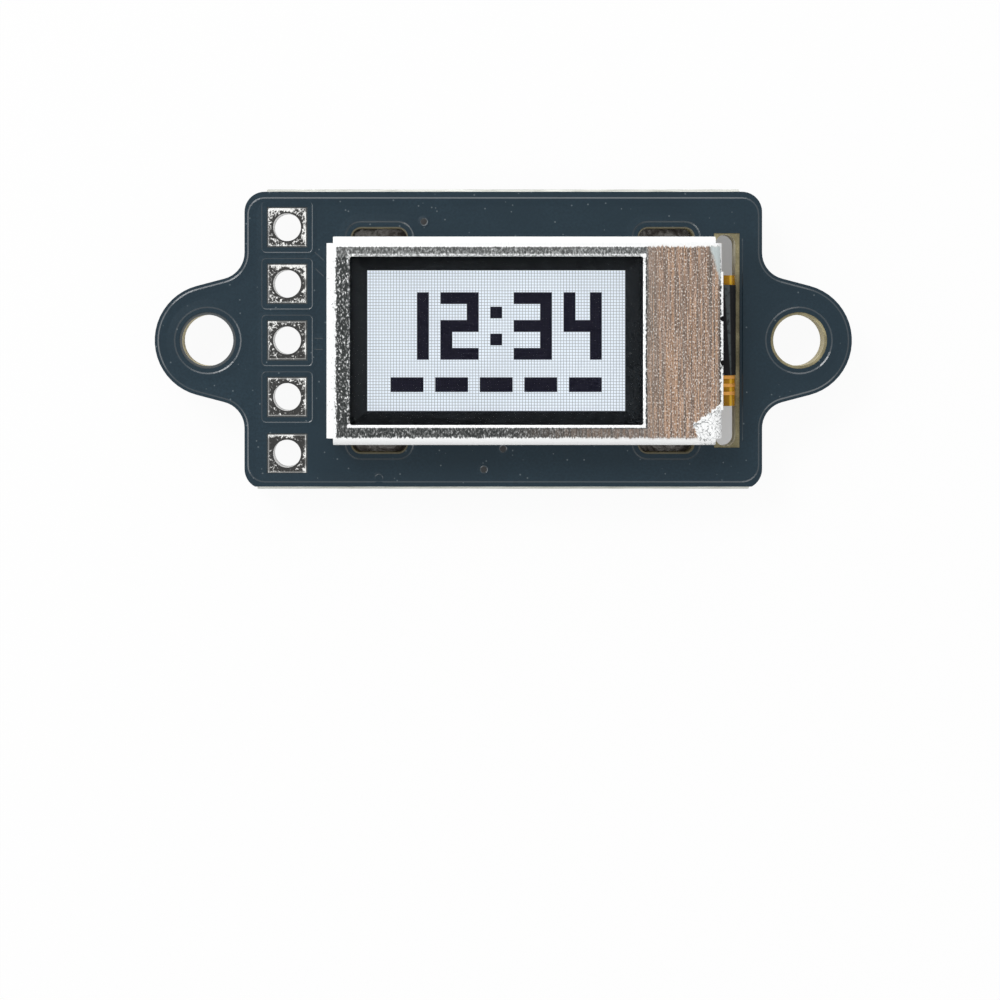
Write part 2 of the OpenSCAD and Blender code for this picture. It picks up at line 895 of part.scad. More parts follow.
// Pixels that are switched dark: a plain clock reading over a bar of blocks
module dark_pixels() {
  color("#17191d")
    translate([screen_x, 0, cell_z])
      linear_extrude(cell_t)
        readout_2d();
}

// Seven strokes of each digit: top, upper right, lower right, bottom, lower left, upper left, middle
DIGIT_STROKES = [
  [1, 1, 1, 1, 1, 1, 0], [0, 1, 1, 0, 0, 0, 0], [1, 1, 0, 1, 1, 0, 1], [1, 1, 1, 1, 0, 0, 1],
  [0, 1, 1, 0, 0, 1, 1], [1, 0, 1, 1, 0, 1, 1], [1, 0, 1, 1, 1, 1, 1], [1, 1, 1, 0, 0, 0, 0],
  [1, 1, 1, 1, 1, 1, 1], [1, 1, 1, 1, 0, 1, 1]
];

// One digit in pixels, its middle at the origin
module digit_2d(value) {
  strokes = DIGIT_STROKES[value];
  side_h = (digit_rows + stroke_cols) / 2;
  side_x = (digit_cols - stroke_cols) / 2;
  side_y = (digit_rows - stroke_cols) / 4;
  for (k = [0, 3, 6])
    if (strokes[k] == 1)
      translate([0, k == 0 ? 2 * side_y : k == 3 ? -2 * side_y : 0])
        square([digit_cols, stroke_cols], center = true);
  for (k = [1, 2, 4, 5])
    if (strokes[k] == 1)
      translate([k < 3 ? side_x : -side_x, k == 1 || k == 5 ? side_y : -side_y])
        square([stroke_cols, side_h], center = true);
}

module readout_2d() {
  colon_y = digit_rows / 5;
  step = digit_cols + gap_cols;
  first_x = stroke_cols / 2 + gap_cols + digit_cols / 2;
  row_w = 2 * (first_x + step) + digit_cols;
  bar_pitch = (row_w + gap_cols) / bar_count;
  bar_y = rise_rows - digit_rows / 2 - bar_gap_rows - bar_rows / 2;
  scale(pixel_pitch) {
    translate([0, rise_rows]) {
      for (k = [0 : 3])
        translate([k < 2 ? -first_x - (1 - k) * step : first_x + (k - 2) * step, 0])
          digit_2d(k + 1);
      both_ways()
        translate([0, colon_y])
          square(stroke_cols, center = true);
    }
    for (k = [0 : bar_count - 1])
      translate([(k - (bar_count - 1) / 2) * bar_pitch, bar_y])
        square([bar_pitch - gap_cols, bar_rows], center = true);
  }
}

module black_border() {
  color("#15171a")
    difference() {
      slab(stack_x0, front_glass_x1, stack_y, cell_z, cell_t);
      translate([screen_x - screen_w / 2, -screen_h / 2, cell_z - cut])
        cube([screen_w, screen_h, cell_t + 2 * cut]);
    }
}

module rear_glass() {
  color("#cfe3e0", 0.4)
    slab(stack_x0, glass_x1, stack_y, rear_glass_z, glass_t);
}

module rear_polarizer() {
  color("#3a3d42", 0.6)
    slab(window_x0 - polarizer_lap, window_x1 + polarizer_lap, window_h / 2 + polarizer_lap,
         rear_polarizer_z, polarizer_t);
}

module driver_chip() {
  color("#3c3f46")
    slab(front_glass_x1 + driver_gap, front_glass_x1 + driver_gap + driver_w, driver_l / 2,
         cell_z, driver_h);
}

module rim_tape() {
  opening_w = screen_w + 2 * rim_tape_lap;
  opening_h = screen_h + 2 * rim_tape_lap;
  color("#101114")
    difference() {
      slab(stack_x0, stack_x1, stack_y, rim_tape_z, rim_tape_t);
      translate([screen_x - opening_w / 2, -opening_h / 2, rim_tape_z - cut])
        cube([opening_w, opening_h, rim_tape_t + 2 * cut]);
    }
}

// One sheet of the backlight, as wide as the light guide
module guide_sheet(z, t) {
  slab(guide_x0, guide_x1, guide_y, z, t);
}

module prism_sheet_upper() {
  color("#eef2f4", 0.6)
    guide_sheet(prism_upper_z, prism_t);
}

module prism_sheet_lower() {
  color("#e6ecef", 0.6)
    guide_sheet(prism_lower_z, prism_t);
}

module diffuser_sheet() {
  color("#f4f5f2")
    guide_sheet(diffuser_z, diffuser_t);
}

module light_guide() {
  color("#e4f1f6", 0.5)
    guide_sheet(guide_z, guide_t);
}

module reflector_sheet() {
  color("#dfe2e4")
    guide_sheet(reflector_z, reflector_t);
}

module backlight_frame() {
  frame_t = rim_tape_z - reflector_z;
  color("#f1f1ee")
    difference() {
      slab(stack_x0, stack_x1, stack_y, reflector_z, frame_t);
      slab(guide_x0 - fit_gap, guide_x1 + fit_gap, guide_y + fit_gap, reflector_z - cut, frame_t + 2 * cut);
      slab(guide_x1, led_x0 + led_d + fit_gap, led_row_l / 2 + fit_gap, reflector_z - cut, frame_t + 2 * cut);
    }
}

module backlight_leds() {
  color("#f2e9b8")
    both_ways()
      translate([led_x0, led_pitch / 2 - led_l / 2, reflector_z])
        cube([led_d, led_l, led_h]);
}

module led_strip() {
  color("#c98a2b")
    slab(led_x0, led_x0 + led_d, led_row_l / 2, reflector_z + led_h, strip_t);
}

module mounting_tape() {
  color("#3b3b3b")
    slab(stack_x0, stack_x1, stack_y, face_z, tape_t);
}

// Flex tail

function neck_y(i) = ((wire_count - 1) / 2 - i) * neck_pitch;
function pad_y(i) = ((wire_count - 1) / 2 - i) * pad_pitch;

// Layer of thickness t, its middle at distance o outside the middle of the film.
// First the run from from_x over the glass, down the slot and back to to_x under the board.
module wrap_2d(o, t, from_x, to_x) {
  translate([from_x, top_z + o - t / 2])
    square([top_x - from_x, t]);
  band([top_x, top_z - bend_front], bend_front + o, t, 0, 90);
  translate([flex_x + o - t / 2, flat_z + bend_rear])
    square([t, top_z - bend_front - flat_z - bend_rear]);
  band([flex_x - bend_rear, flat_z + bend_rear], bend_rear + o, t, -90, 0);
  translate([to_x, flat_z - o - t / 2])
    square([flex_x - bend_rear - to_x, t]);
}

// Then the flat run from from_x, and the slope down to the lands
module tail_2d(o, t, from_x) {
  polygon(concat(tail_line(o + t / 2, from_x), backwards(tail_line(o - t / 2, from_x))));
}

function tail_line(o, from_x) = concat(
  [[from_x, flat_z - o]],
  arc_points([slope_x, flat_z + slope_r], slope_r + o, -90, -90 - slope_angle),
  arc_points(slope_top, slope_r - o, 90 - slope_angle, 90),
  [[tail_x0, end_z - o]]
);

function arc_points(centre, r, a0, a1) = [
  for (i = [0 : slope_steps])
    let (a = a0 + (a1 - a0) * i / slope_steps)
    centre + r * [cos(a), sin(a)]
];

function backwards(points) = [for (i = [len(points) - 1 : -1 : 0]) points[i]];

module tooling_each() {
  both_ways()
    translate([tooling_at, tooling_pitch / 2, 0])
      children();
}

module flex_film() {
  tail_mid = (tail_x0 + tail_x1) / 2;
  color("#c07a1e")
    difference() {
      union() {
        run_y(neck_w)
          wrap_2d(0, film_t, bond_x, tail_x1 - bend_rear);
        intersection() {
          run_y(tail_w)
            tail_2d(0, film_t, tail_x1);
          translate([tail_mid, 0, 2 * flat_z])
            linear_extrude(-2 * flat_z)
              rounded_rect(tail_l, tail_w, tail_r);
        }
      }
      tooling_each()
        translate([0, 0, 2 * flat_z])
          cylinder(d = tooling_d, h = -2 * flat_z);
    }
}

module flex_conductors() {
  o = film_t / 2 + wire_t / 2;
  fan_z = flat_z - film_t / 2 - wire_t;
  half = neck_wire_w / 2;
  color("#d98b33") {
    for (i = [0 : wire_count - 1]) {
      translate([0, neck_y(i), 0])
        run_y(neck_wire_w)
          wrap_2d(o, wire_t, glass_x1, fan_x1);
      translate([0, 0, fan_z])
        linear_extrude(wire_t) {
          polygon([
            [fan_x1, neck_y(i) - half], [fan_x1, neck_y(i) + half],
            [fan_x0, pad_y(i) + half], [fan_x0, pad_y(i) - half]
          ]);
          translate([fan_x0, pad_y(i)])
            circle(d = pad_w);
        }
      translate([0, pad_y(i), 0])
        run_y(pad_w)
          tail_2d(o, wire_t, fan_x0);
    }
    tooling_each()
      translate([0, 0, fan_z])
        difference() {
          cylinder(d = tooling_d + 2 * tooling_ring, h = wire_t);
          translate([0, 0, -cut])
            cylinder(d = tooling_d, h = wire_t + 2 * cut);
        }
  }
}

module bend_cover() {
  cover_w = cover_top + cover_bottom;
  color("#17181b")
    translate([0, (cover_top - cover_bottom) / 2, 0])
      run_y(cover_w)
        wrap_2d(film_t / 2 + wire_t + cover_t / 2, cover_t, glass_x1, slot_x0);
}

// Section of one solder joint on the board: up the edge of the film, with a domed top
module joint_2d() {
  step = film_t + wire_t;
  translate([-joint_w / 2, 0])
    square([joint_w, step]);
  translate([0, step])
    cap_2d(joint_w, joint_h);
}

module flex_solder() {
  step = film_t + wire_t;
  board_l = land_out - joint_w / 2;
  color("#c9cbc9")
    rear_side()
      flex_land_each()
        translate([0, 0, land_t]) {
          translate([0, 0, step])
            run_x(end_x - tail_x0 - joint_gap)
              cap_2d(joint_w, joint_h);
          translate([-board_l, 0, 0])
            run_x(board_l)
              joint_2d();
          translate([-board_l, 0, 0])
            rotate(90)
              rotate_extrude(angle = 180)
                right_half(joint_w)
                  joint_2d();
        }
}

// Chips

module at_chip(place) {
  rear_side()
    translate([place[0], place[1], land_t])
      children();
}

// Bar with rounded long edges, standing on z = 0
module chip_bar(l, w, h, r) {
  translate([-l / 2, 0, h / 2])
    run_x(l)
      rounded_rect(w, h, r);
}

module capacitor_core() {
  translate([0, 0, terminal_t])
    chip_bar(chip_l - 2 * terminal_t, chip_w - 2 * terminal_t, capacitor_h - 2 * terminal_t, chip_r);
}

module capacitor(place, shade) {
  color(shade)
    at_chip(place)
      capacitor_core();
}

module capacitor_top() {
  capacitor(capacitor_places[0], "#7a5638");
}

module capacitor_second() {
  capacitor(capacitor_places[1], "#6e4d33");
}

module capacitor_bottom() {
  capacitor(capacitor_places[2], "#b58f4e");
}

module capacitor_partner() {
  capacitor(capacitor_places[3], "#a87c50");
}

module capacitor_terminals() {
  color("#c6c8c7")
    for (p = capacitor_places)
      at_chip(p)
        difference() {
          for (s = [-1, 1])
            translate([s * (chip_l - terminal_l) / 2, 0, 0])
              chip_bar(terminal_l, chip_w, capacitor_h, chip_r + terminal_t);
          capacitor_core();
        }
}

// White body of a resistor, with terminals over its ends, top and bottom
module resistor_core() {
  core_l = chip_l - 2 * terminal_t;
  translate([-core_l / 2, -chip_w / 2, terminal_t])
    cube([core_l, chip_w, resistor_h - 2 * terminal_t]);
}

module resistor(i) {
  color("#e9e7e1")
    at_chip(resistor_places[i])
      resistor_core();
}

module resistor_1() {
  resistor(0);
}

module resistor_2() {
  resistor(1);
}

module resistor_3() {
  resistor(2);
}

module resistor_4() {
  resistor(3);
}

module resistor_coats() {
  coat_l = chip_l - 2 * terminal_l;
  color("#1c1d20")
    for (p = resistor_places)
      at_chip(p)
        translate([-coat_l / 2, -chip_w / 2, resistor_h - terminal_t])
          cube([coat_l, chip_w, coat_t]);
}

module resistor_terminals() {
  color("#c6c8c7")
    for (p = resistor_places)
      at_chip(p)
        difference() {
          for (s = [-1, 1])
            translate([s * (chip_l - terminal_l) / 2 - terminal_l / 2, -chip_w / 2, 0])
              cube([terminal_l, chip_w, resistor_h]);
          translate([-chip_l / 2 + terminal_t, -chip_w, terminal_t])
            cube([chip_l - 2 * terminal_t, 2 * chip_w, resistor_h - 2 * terminal_t]);
        }
}

// Concave fillet from a foot on the land up to a height on the terminal
module fillet_2d(foot, h) {
  chord = norm([foot, h]);
  r = 1.2 * chord;
  away = sqrt(r * r - chord * chord / 4);
  difference() {
    polygon([[0, 0], [foot, 0], [0, h]]);
    translate([foot, h] / 2 + away * [h, foot] / chord)
      circle(r);
  }
}

module chip_solder() {
  color("#cbcdcb")
    for (p = chip_places, s = [0, 1])
      at_chip(p)
        mirror([s, 0, 0])
          translate([chip_l / 2, 0, 0])
            run_y(chip_w)
              fillet_2d(fillet_foot, fillet_h);
}

// Regulator

// Moulded side: widest at the parting line, drafted to both faces
module drafted_2d(w) {
  half = regulator_h / 2;
  inset = half * tan(draft);
  polygon([
    [-w / 2, half], [-w / 2 + inset, 0], [w / 2 - inset, 0],
    [w / 2, half], [w / 2 - inset, regulator_h], [-w / 2 + inset, regulator_h]
  ]);
}

module regulator_body() {
  color("#25262a")
    rear_side()
      translate([regulator_x, -regulator_drop, land_t + regulator_gap])
        intersection() {
          translate([-regulator_w, 0, 0])
            run_x(2 * regulator_w)
              drafted_2d(regulator_l);
          run_y(2 * regulator_l)
            drafted_2d(regulator_w);
        }
}

// Side view of one lead, from the body outwards
module lead_2d() {
  foot_z = land_t + lead_t / 2;
  drop_x = lead_out + lead_r;
  foot_x = drop_x + lead_r;
  translate([0, lead_z - lead_t / 2])
    square([lead_out, lead_t]);
  band([lead_out, lead_z - lead_r], lead_r, lead_t, 0, 90);
  translate([drop_x - lead_t / 2, foot_z + lead_r])
    square([lead_t, lead_z - foot_z - 2 * lead_r]);
  band([foot_x, foot_z + lead_r], lead_r, lead_t, 180, 270);
  translate([foot_x, foot_z - lead_t / 2])
    square([lead_foot, lead_t]);
}

module regulator_leads() {
  color("#c2c4c3")
    rear_side()
      regulator_land_each()
        run_y(lead_w)
          lead_2d();
}

module regulator_solder() {
  color("#cbcdcb")
    rear_side()
      regulator_land_each()
        translate([lead_span, 0, land_t])
          run_y(lead_w)
            fillet_2d(lead_fillet, lead_t);
}

circuit_board();
solder_mask_front();
solder_mask_rear();
header_lands();
tab_lands();
flex_lands();
chip_lands();
legend_marks();
display_bezel();
tab_solder();
front_polarizer();
front_glass();
pixel_layer();
dark_pixels();
black_border();
rear_glass();
rear_polarizer();
driver_chip();
rim_tape();
prism_sheet_upper();
prism_sheet_lower();
diffuser_sheet();
light_guide();
reflector_sheet();
backlight_frame();
backlight_leds();
led_strip();
mounting_tape();
flex_film();
flex_conductors();
bend_cover();
flex_solder();
capacitor_top();
capacitor_second();
capacitor_bottom();
capacitor_partner();
resistor_1();
resistor_2();
resistor_3();
resistor_4();
resistor_coats();
capacitor_terminals();
resistor_terminals();
chip_solder();
regulator_body();
regulator_leads();
regulator_solder();
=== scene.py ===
"""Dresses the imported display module: finishes, board relief, printed marks and the studio around it."""

import math

import bmesh
import bpy
from mathutils import Matrix, Vector


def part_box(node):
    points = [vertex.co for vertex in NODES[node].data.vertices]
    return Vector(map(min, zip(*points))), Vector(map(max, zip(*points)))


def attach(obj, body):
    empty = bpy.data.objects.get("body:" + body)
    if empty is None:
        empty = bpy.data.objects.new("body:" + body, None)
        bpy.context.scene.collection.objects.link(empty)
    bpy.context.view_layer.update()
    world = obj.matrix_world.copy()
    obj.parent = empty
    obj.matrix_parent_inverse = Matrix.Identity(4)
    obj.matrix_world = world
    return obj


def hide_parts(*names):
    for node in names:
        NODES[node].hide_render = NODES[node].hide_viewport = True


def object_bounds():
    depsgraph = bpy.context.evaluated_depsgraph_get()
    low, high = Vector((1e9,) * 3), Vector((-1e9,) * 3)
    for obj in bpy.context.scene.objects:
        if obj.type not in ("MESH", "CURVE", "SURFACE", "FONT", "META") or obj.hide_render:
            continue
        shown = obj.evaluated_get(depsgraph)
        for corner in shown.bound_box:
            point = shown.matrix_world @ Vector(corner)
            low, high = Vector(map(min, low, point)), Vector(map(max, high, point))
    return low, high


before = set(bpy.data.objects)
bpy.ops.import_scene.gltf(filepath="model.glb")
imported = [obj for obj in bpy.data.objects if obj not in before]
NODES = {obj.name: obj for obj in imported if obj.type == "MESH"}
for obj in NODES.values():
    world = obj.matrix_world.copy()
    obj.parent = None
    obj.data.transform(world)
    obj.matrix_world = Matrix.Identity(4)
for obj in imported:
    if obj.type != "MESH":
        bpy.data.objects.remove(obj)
CAD_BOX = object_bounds()

bl_info = {
    "name": "Display Module Dresser",
    "version": (1, 0, 0),
    "blender": (4, 5, 0),
    "location": "View3D > Sidebar > Display Module",
    "description": "Finishes and fine detail for a small display module on a carrier board",
    "category": "Object",
}

MM = 0.001
BODY = "root"


def mm_box(node):
    """Lowest and highest corner of a CAD node, in millimetres."""
    low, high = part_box(node)
    return low / MM, high / MM


MASK_LOW, MASK_HIGH = mm_box("solder_mask_front")
REAR_LOW, REAR_HIGH = mm_box("solder_mask_rear")
BOARD_TOP = mm_box("circuit_board")[1].z
BEZEL_LOW, BEZEL_HIGH = mm_box("display_bezel")
PIXEL_LOW, PIXEL_HIGH = mm_box("pixel_layer")
HEADER_LOW, HEADER_HIGH = mm_box("header_lands")
COAT_LOW, COAT_HIGH = mm_box("resistor_coats")
FRONT_Z = MASK_HIGH.z
REAR_Z = REAR_LOW.z
HEADER_X = (HEADER_LOW.x + HEADER_HIGH.x) / 2
HEADER_PITCH = 2.54
HEADER_COUNT = 5
HEADER_Y = [((HEADER_COUNT - 1) / 2 - i) * HEADER_PITCH for i in range(HEADER_COUNT)]
LAND = HEADER_HIGH.x - HEADER_LOW.x
PIXEL_COLUMNS, PIXEL_ROWS = 88, 48
BORDER_X, BORDER_Y = 0.75, 0.6
WINDOW_LEFT, WINDOW_RIGHT = PIXEL_LOW.x - BORDER_X, PIXEL_HIGH.x + BORDER_X
WINDOW_TOP = PIXEL_HIGH.y + BORDER_Y
# Folded box of the bezel, slots and holes, as the source places them
CAN_X = (BEZEL_LOW.x, 9.61)
CAN_HALF = 4.605
SLOT_X = (9.51, 10.41)
HOLE_X = 13.26
TAB_X = (-5.56, 7.31)
TAB_Y = 4.635
# Mask edge to the copper pour, beyond the inset
POUR_TOP, POUR_LOW = 0.12, 0.06
# Outline of the board, as the source draws it
SIDE_X = 11.61
CORNER_R = 0.9
EAR_REACH, EAR_R, EAR_FILLET = 1.5, 2.53, 1.2
EAR_SLOPE = math.radians(14.7)


# Settings


class FinishColours(bpy.types.PropertyGroup):
    """Main colours of the module."""

    mask: bpy.props.FloatVectorProperty(
        name="Mask", description="Solder mask on both faces", subtype="COLOR", default=(0.017, 0.034, 0.048)
    )
    laminate: bpy.props.FloatVectorProperty(
        name="Laminate", description="Bare board edges", subtype="COLOR", default=(0.30, 0.265, 0.155)
    )
    bezel: bpy.props.FloatVectorProperty(
        name="Bezel", description="Brushed sheet metal", subtype="COLOR", default=(0.33, 0.226, 0.171)
    )
    tin: bpy.props.FloatVectorProperty(
        name="Tin", description="Plated lands and solder", subtype="COLOR", default=(0.80, 0.80, 0.78)
    )
    screen: bpy.props.FloatVectorProperty(
        name="Screen", description="Lit pixels", subtype="COLOR", default=(0.47, 0.513, 0.561)
    )
    film: bpy.props.FloatVectorProperty(
        name="Film", description="Amber film of the flex", subtype="COLOR", default=(0.45, 0.21, 0.003)
    )


class ReliefSizes(bpy.types.PropertyGroup):
    """Sizes of the fine relief on the board."""

    step_width: bpy.props.FloatProperty(
        name="Step width",
        description="Steep side of a copper edge under the mask",
        unit="LENGTH",
        default=0.07 * MM,
    )
    step_height: bpy.props.FloatProperty(
        name="Step height",
        description="Height of a copper edge under the mask",
        unit="LENGTH",
        default=0.028 * MM,
    )
    trace_width: bpy.props.FloatProperty(
        name="Trace width", description="Width of a trace under the mask", unit="LENGTH", default=0.14 * MM
    )
    pour_inset: bpy.props.FloatProperty(
        name="Pour inset", description="Board edge to the copper pour", unit="LENGTH", default=0.19 * MM
    )
    land_gap: bpy.props.FloatProperty(
        name="Land gap", description="Header land to the copper pour", unit="LENGTH", default=0.3 * MM
    )
    via_radius: bpy.props.FloatProperty(
        name="Via radius", description="Radius of a covered via", unit="LENGTH", default=0.13 * MM
    )
    mark_height: bpy.props.FloatProperty(
        name="Mark height", description="Height of the printed pin numbers", unit="LENGTH", default=1.15 * MM
    )
    joint_width: bpy.props.FloatProperty(
        name="Joint width",
        description="Width of a solder joint on the flex tail",
        unit="LENGTH",
        default=0.30 * MM,
    )


class StudioSettings(bpy.types.PropertyGroup):
    """Camera and light."""

    distance: bpy.props.FloatProperty(
        name="Distance", description="Camera to the board's face", unit="LENGTH", default=0.11
    )
    view_width: bpy.props.FloatProperty(
        name="View width",
        description="Width of the picture on the board's face",
        unit="LENGTH",
        default=0.04486,
    )
    key_power: bpy.props.FloatProperty(
        name="Key", description="Power of the key light", unit="POWER", default=0.3
    )
    panel_power: bpy.props.FloatProperty(
        name="Panels", description="Power of the left and the top panel", unit="POWER", default=0.3
    )
    fill_power: bpy.props.FloatProperty(
        name="Fill", description="Power of the low panel", unit="POWER", default=0.16
    )
    sky_level: bpy.props.FloatProperty(name="Sky", description="Strength of the even light", default=0.42)


SETTINGS = {
    "module_colours": FinishColours,
    "module_relief": ReliefSizes,
    "module_studio": StudioSettings,
}


# Shader tools


class Field:
    """A value that varies over a surface. Arithmetic on it adds Math nodes."""

    def __init__(self, owner, socket):
        self.owner = owner
        self.socket = socket

    def math(self, operation, *others):
        return self.owner.node("ShaderNodeMath", {"operation": operation}, dict(enumerate((self, *others))))

    def __add__(self, other):
        return self.math("ADD", other)

    __radd__ = __add__

    def __sub__(self, other):
        return self.math("SUBTRACT", other)

    def __rsub__(self, other):
        return self.owner.node("ShaderNodeMath", {"operation": "SUBTRACT"}, {0: other, 1: self})

    def __neg__(self):
        return 0 - self

    def __abs__(self):
        return self.math("ABSOLUTE")

    def __mul__(self, other):
        return self.math("MULTIPLY", other)

    __rmul__ = __mul__

    def most(self, *others):
        """The highest of this value and others."""
        highest = self
        for other in others:
            highest = highest.math("MAXIMUM", other)
        return highest

    def span(self, low, high, start=0.0, end=1.0):
        """Maps low..high to start..end and stops at both ends."""
        settings = {"clamp": True, "interpolation_type": "SMOOTHSTEP"}
        values = {"Value": self, "From Min": low, "From Max": high, "To Min": start, "To Max": end}
        return self.owner.node("ShaderNodeMapRange", settings, values)


def find_socket(sockets, key):
    """A socket by number, identifier or name."""
    if isinstance(key, int):
        return sockets[key]
    for socket in sockets:
        if socket.identifier == key:
            return socket
    return sockets[key]


class NodeTree:
    """Adds nodes and links to one shader tree."""

    def __init__(self, tree):
        self.tree = tree

    def plug(self, socket, value):
        """Sets or links one socket."""
        if isinstance(value, Field):
            self.tree.links.new(value.socket, socket)
        elif socket.type == "RGBA" and len(value) == 3:
            socket.default_value = (*value, 1.0)
        else:
            socket.default_value = value

    def node(self, kind, settings=None, inputs=None, output=0):
        """Adds any other node: its settings first, then the values or links of its sockets."""
        made = self.tree.nodes.new(kind)
        for key, value in (settings or {}).items():
            if key == "stops":
                set_stops(made.color_ramp, value)
            else:
                setattr(made, key, value)
        for key, value in (inputs or {}).items():
            self.plug(find_socket(made.inputs, key), value)
        return Field(self, find_socket(made.outputs, output))

    def seen(self):
        """1 for rays that show the surroundings: straight from the camera, mirrored or through glass."""
        kinds = ("Is Camera Ray", "Is Glossy Ray", "Is Transmission Ray")
        camera, *others = (self.node("ShaderNodeLightPath", output=kind) for kind in kinds)
        return camera.most(*others)


class Finish(NodeTree):
    """One procedural material: a Principled shader and the nodes that feed it."""

    def __init__(self, name, **constants):
        self.material = bpy.data.materials.new(name)
        self.material.use_nodes = True
        super().__init__(self.material.node_tree)
        self.shader = self.tree.nodes["Principled BSDF"]
        self._place = None
        for key, value in constants.items():
            self.feed(key.replace("_", " "), value)

    def feed(self, name, value):
        """Sets or links one socket of the Principled shader."""
        self.plug(find_socket(self.shader.inputs, name), value)

    def place(self):
        """Place in the module's frame, in millimetres."""
        if self._place is None:
            at = self.node("ShaderNodeTexCoord", output="Object")
            self._place = self.node("ShaderNodeVectorMath", {"operation": "SCALE"}, {0: at, "Scale": 1 / MM})
        return self._place

    def axis(self, name):
        return self.node("ShaderNodeSeparateXYZ", None, {0: self.place()}, name)

    def axes(self, names="XYZ"):
        return (self.axis(name) for name in names)

    def grain(self, scale, detail=3.0, rough=0.55, stretch=None, twist=0.0):
        """Noise from 0 to 1; scale is in cells per millimetre, stretch a factor for each axis."""
        at = self.place()
        if stretch:
            at = self.node("ShaderNodeVectorMath", {"operation": "MULTIPLY"}, {0: at, 1: stretch})
        values = {"Vector": at, "Scale": scale, "Detail": detail, "Roughness": rough, "Distortion": twist}
        return self.node("ShaderNodeTexNoise", None, values, "Fac")

    def cells(self, scale):
        """Distance to the nearest of scattered points."""
        values = {"Vector": self.place(), "Scale": scale}
        return self.node("ShaderNodeTexVoronoi", None, values, "Distance")

    def ramp(self, value, *stops):
        return self.node("ShaderNodeValToRGB", {"stops": stops}, {"Fac": value}, "Color")

    def mix(self, factor, a, b, blend="MIX"):
        values = {"Factor_Float": factor, "A_Color": a, "B_Color": b}
        return self.node("ShaderNodeMix", {"data_type": "RGBA", "blend_type": blend}, values, "Result_Color")

    def bump(self, height, depth_mm, strength=1.0):
        values = {"Strength": strength, "Distance": depth_mm * MM, "Height": height}
        self.feed("Normal", self.node("ShaderNodeBump", None, values, "Normal"))


def set_stops(ramp, stops):
    """Gives a colour ramp exactly these (position, colour) stops."""
    while len(ramp.elements) > 1:
        ramp.elements.remove(ramp.elements[-1])
    for index, (position, colour) in enumerate(stops):
        element = ramp.elements[0] if index == 0 else ramp.elements.new(position)
        element.position = position
        element.color = (*colour, 1.0)


def shade(colour, factor):
    return tuple(channel * factor for channel in colour)


def dress(finish, *nodes):
    """Gives CAD nodes a finish."""
    for name in nodes:
        slots = NODES[name].data.materials
        slots.clear()
        slots.append(finish.material)


# Finishes


def mask_finish(name, colour, shine=0.18, low=0.32, high=0.46, depth=0.003):
    """Satin mask: cloudy depth, sparse pale dust and a soft gloss."""
    finish = Finish(name, Specular_IOR_Level=shine)
    cloud = finish.grain(0.35, 2.0)
    fine = finish.grain(9.0, 2.0)
    dust = 1 - finish.cells(2.4).span(0.05, 0.12)
    body = finish.mix(cloud.span(0.3, 0.7), shade(colour, 0.92), shade(colour, 1.1))
    body = finish.mix(fine.span(0.3, 0.7), shade(colour, 0.86), body)
    finish.feed("Base Color", finish.mix(dust * 0.45, body, (0.22, 0.26, 0.28)))
    finish.feed("Roughness", finish.grain(3.0).span(0.2, 0.8, low, high))
    finish.bump(finish.grain(14.0, 3.0), depth, 0.6)
    return finish


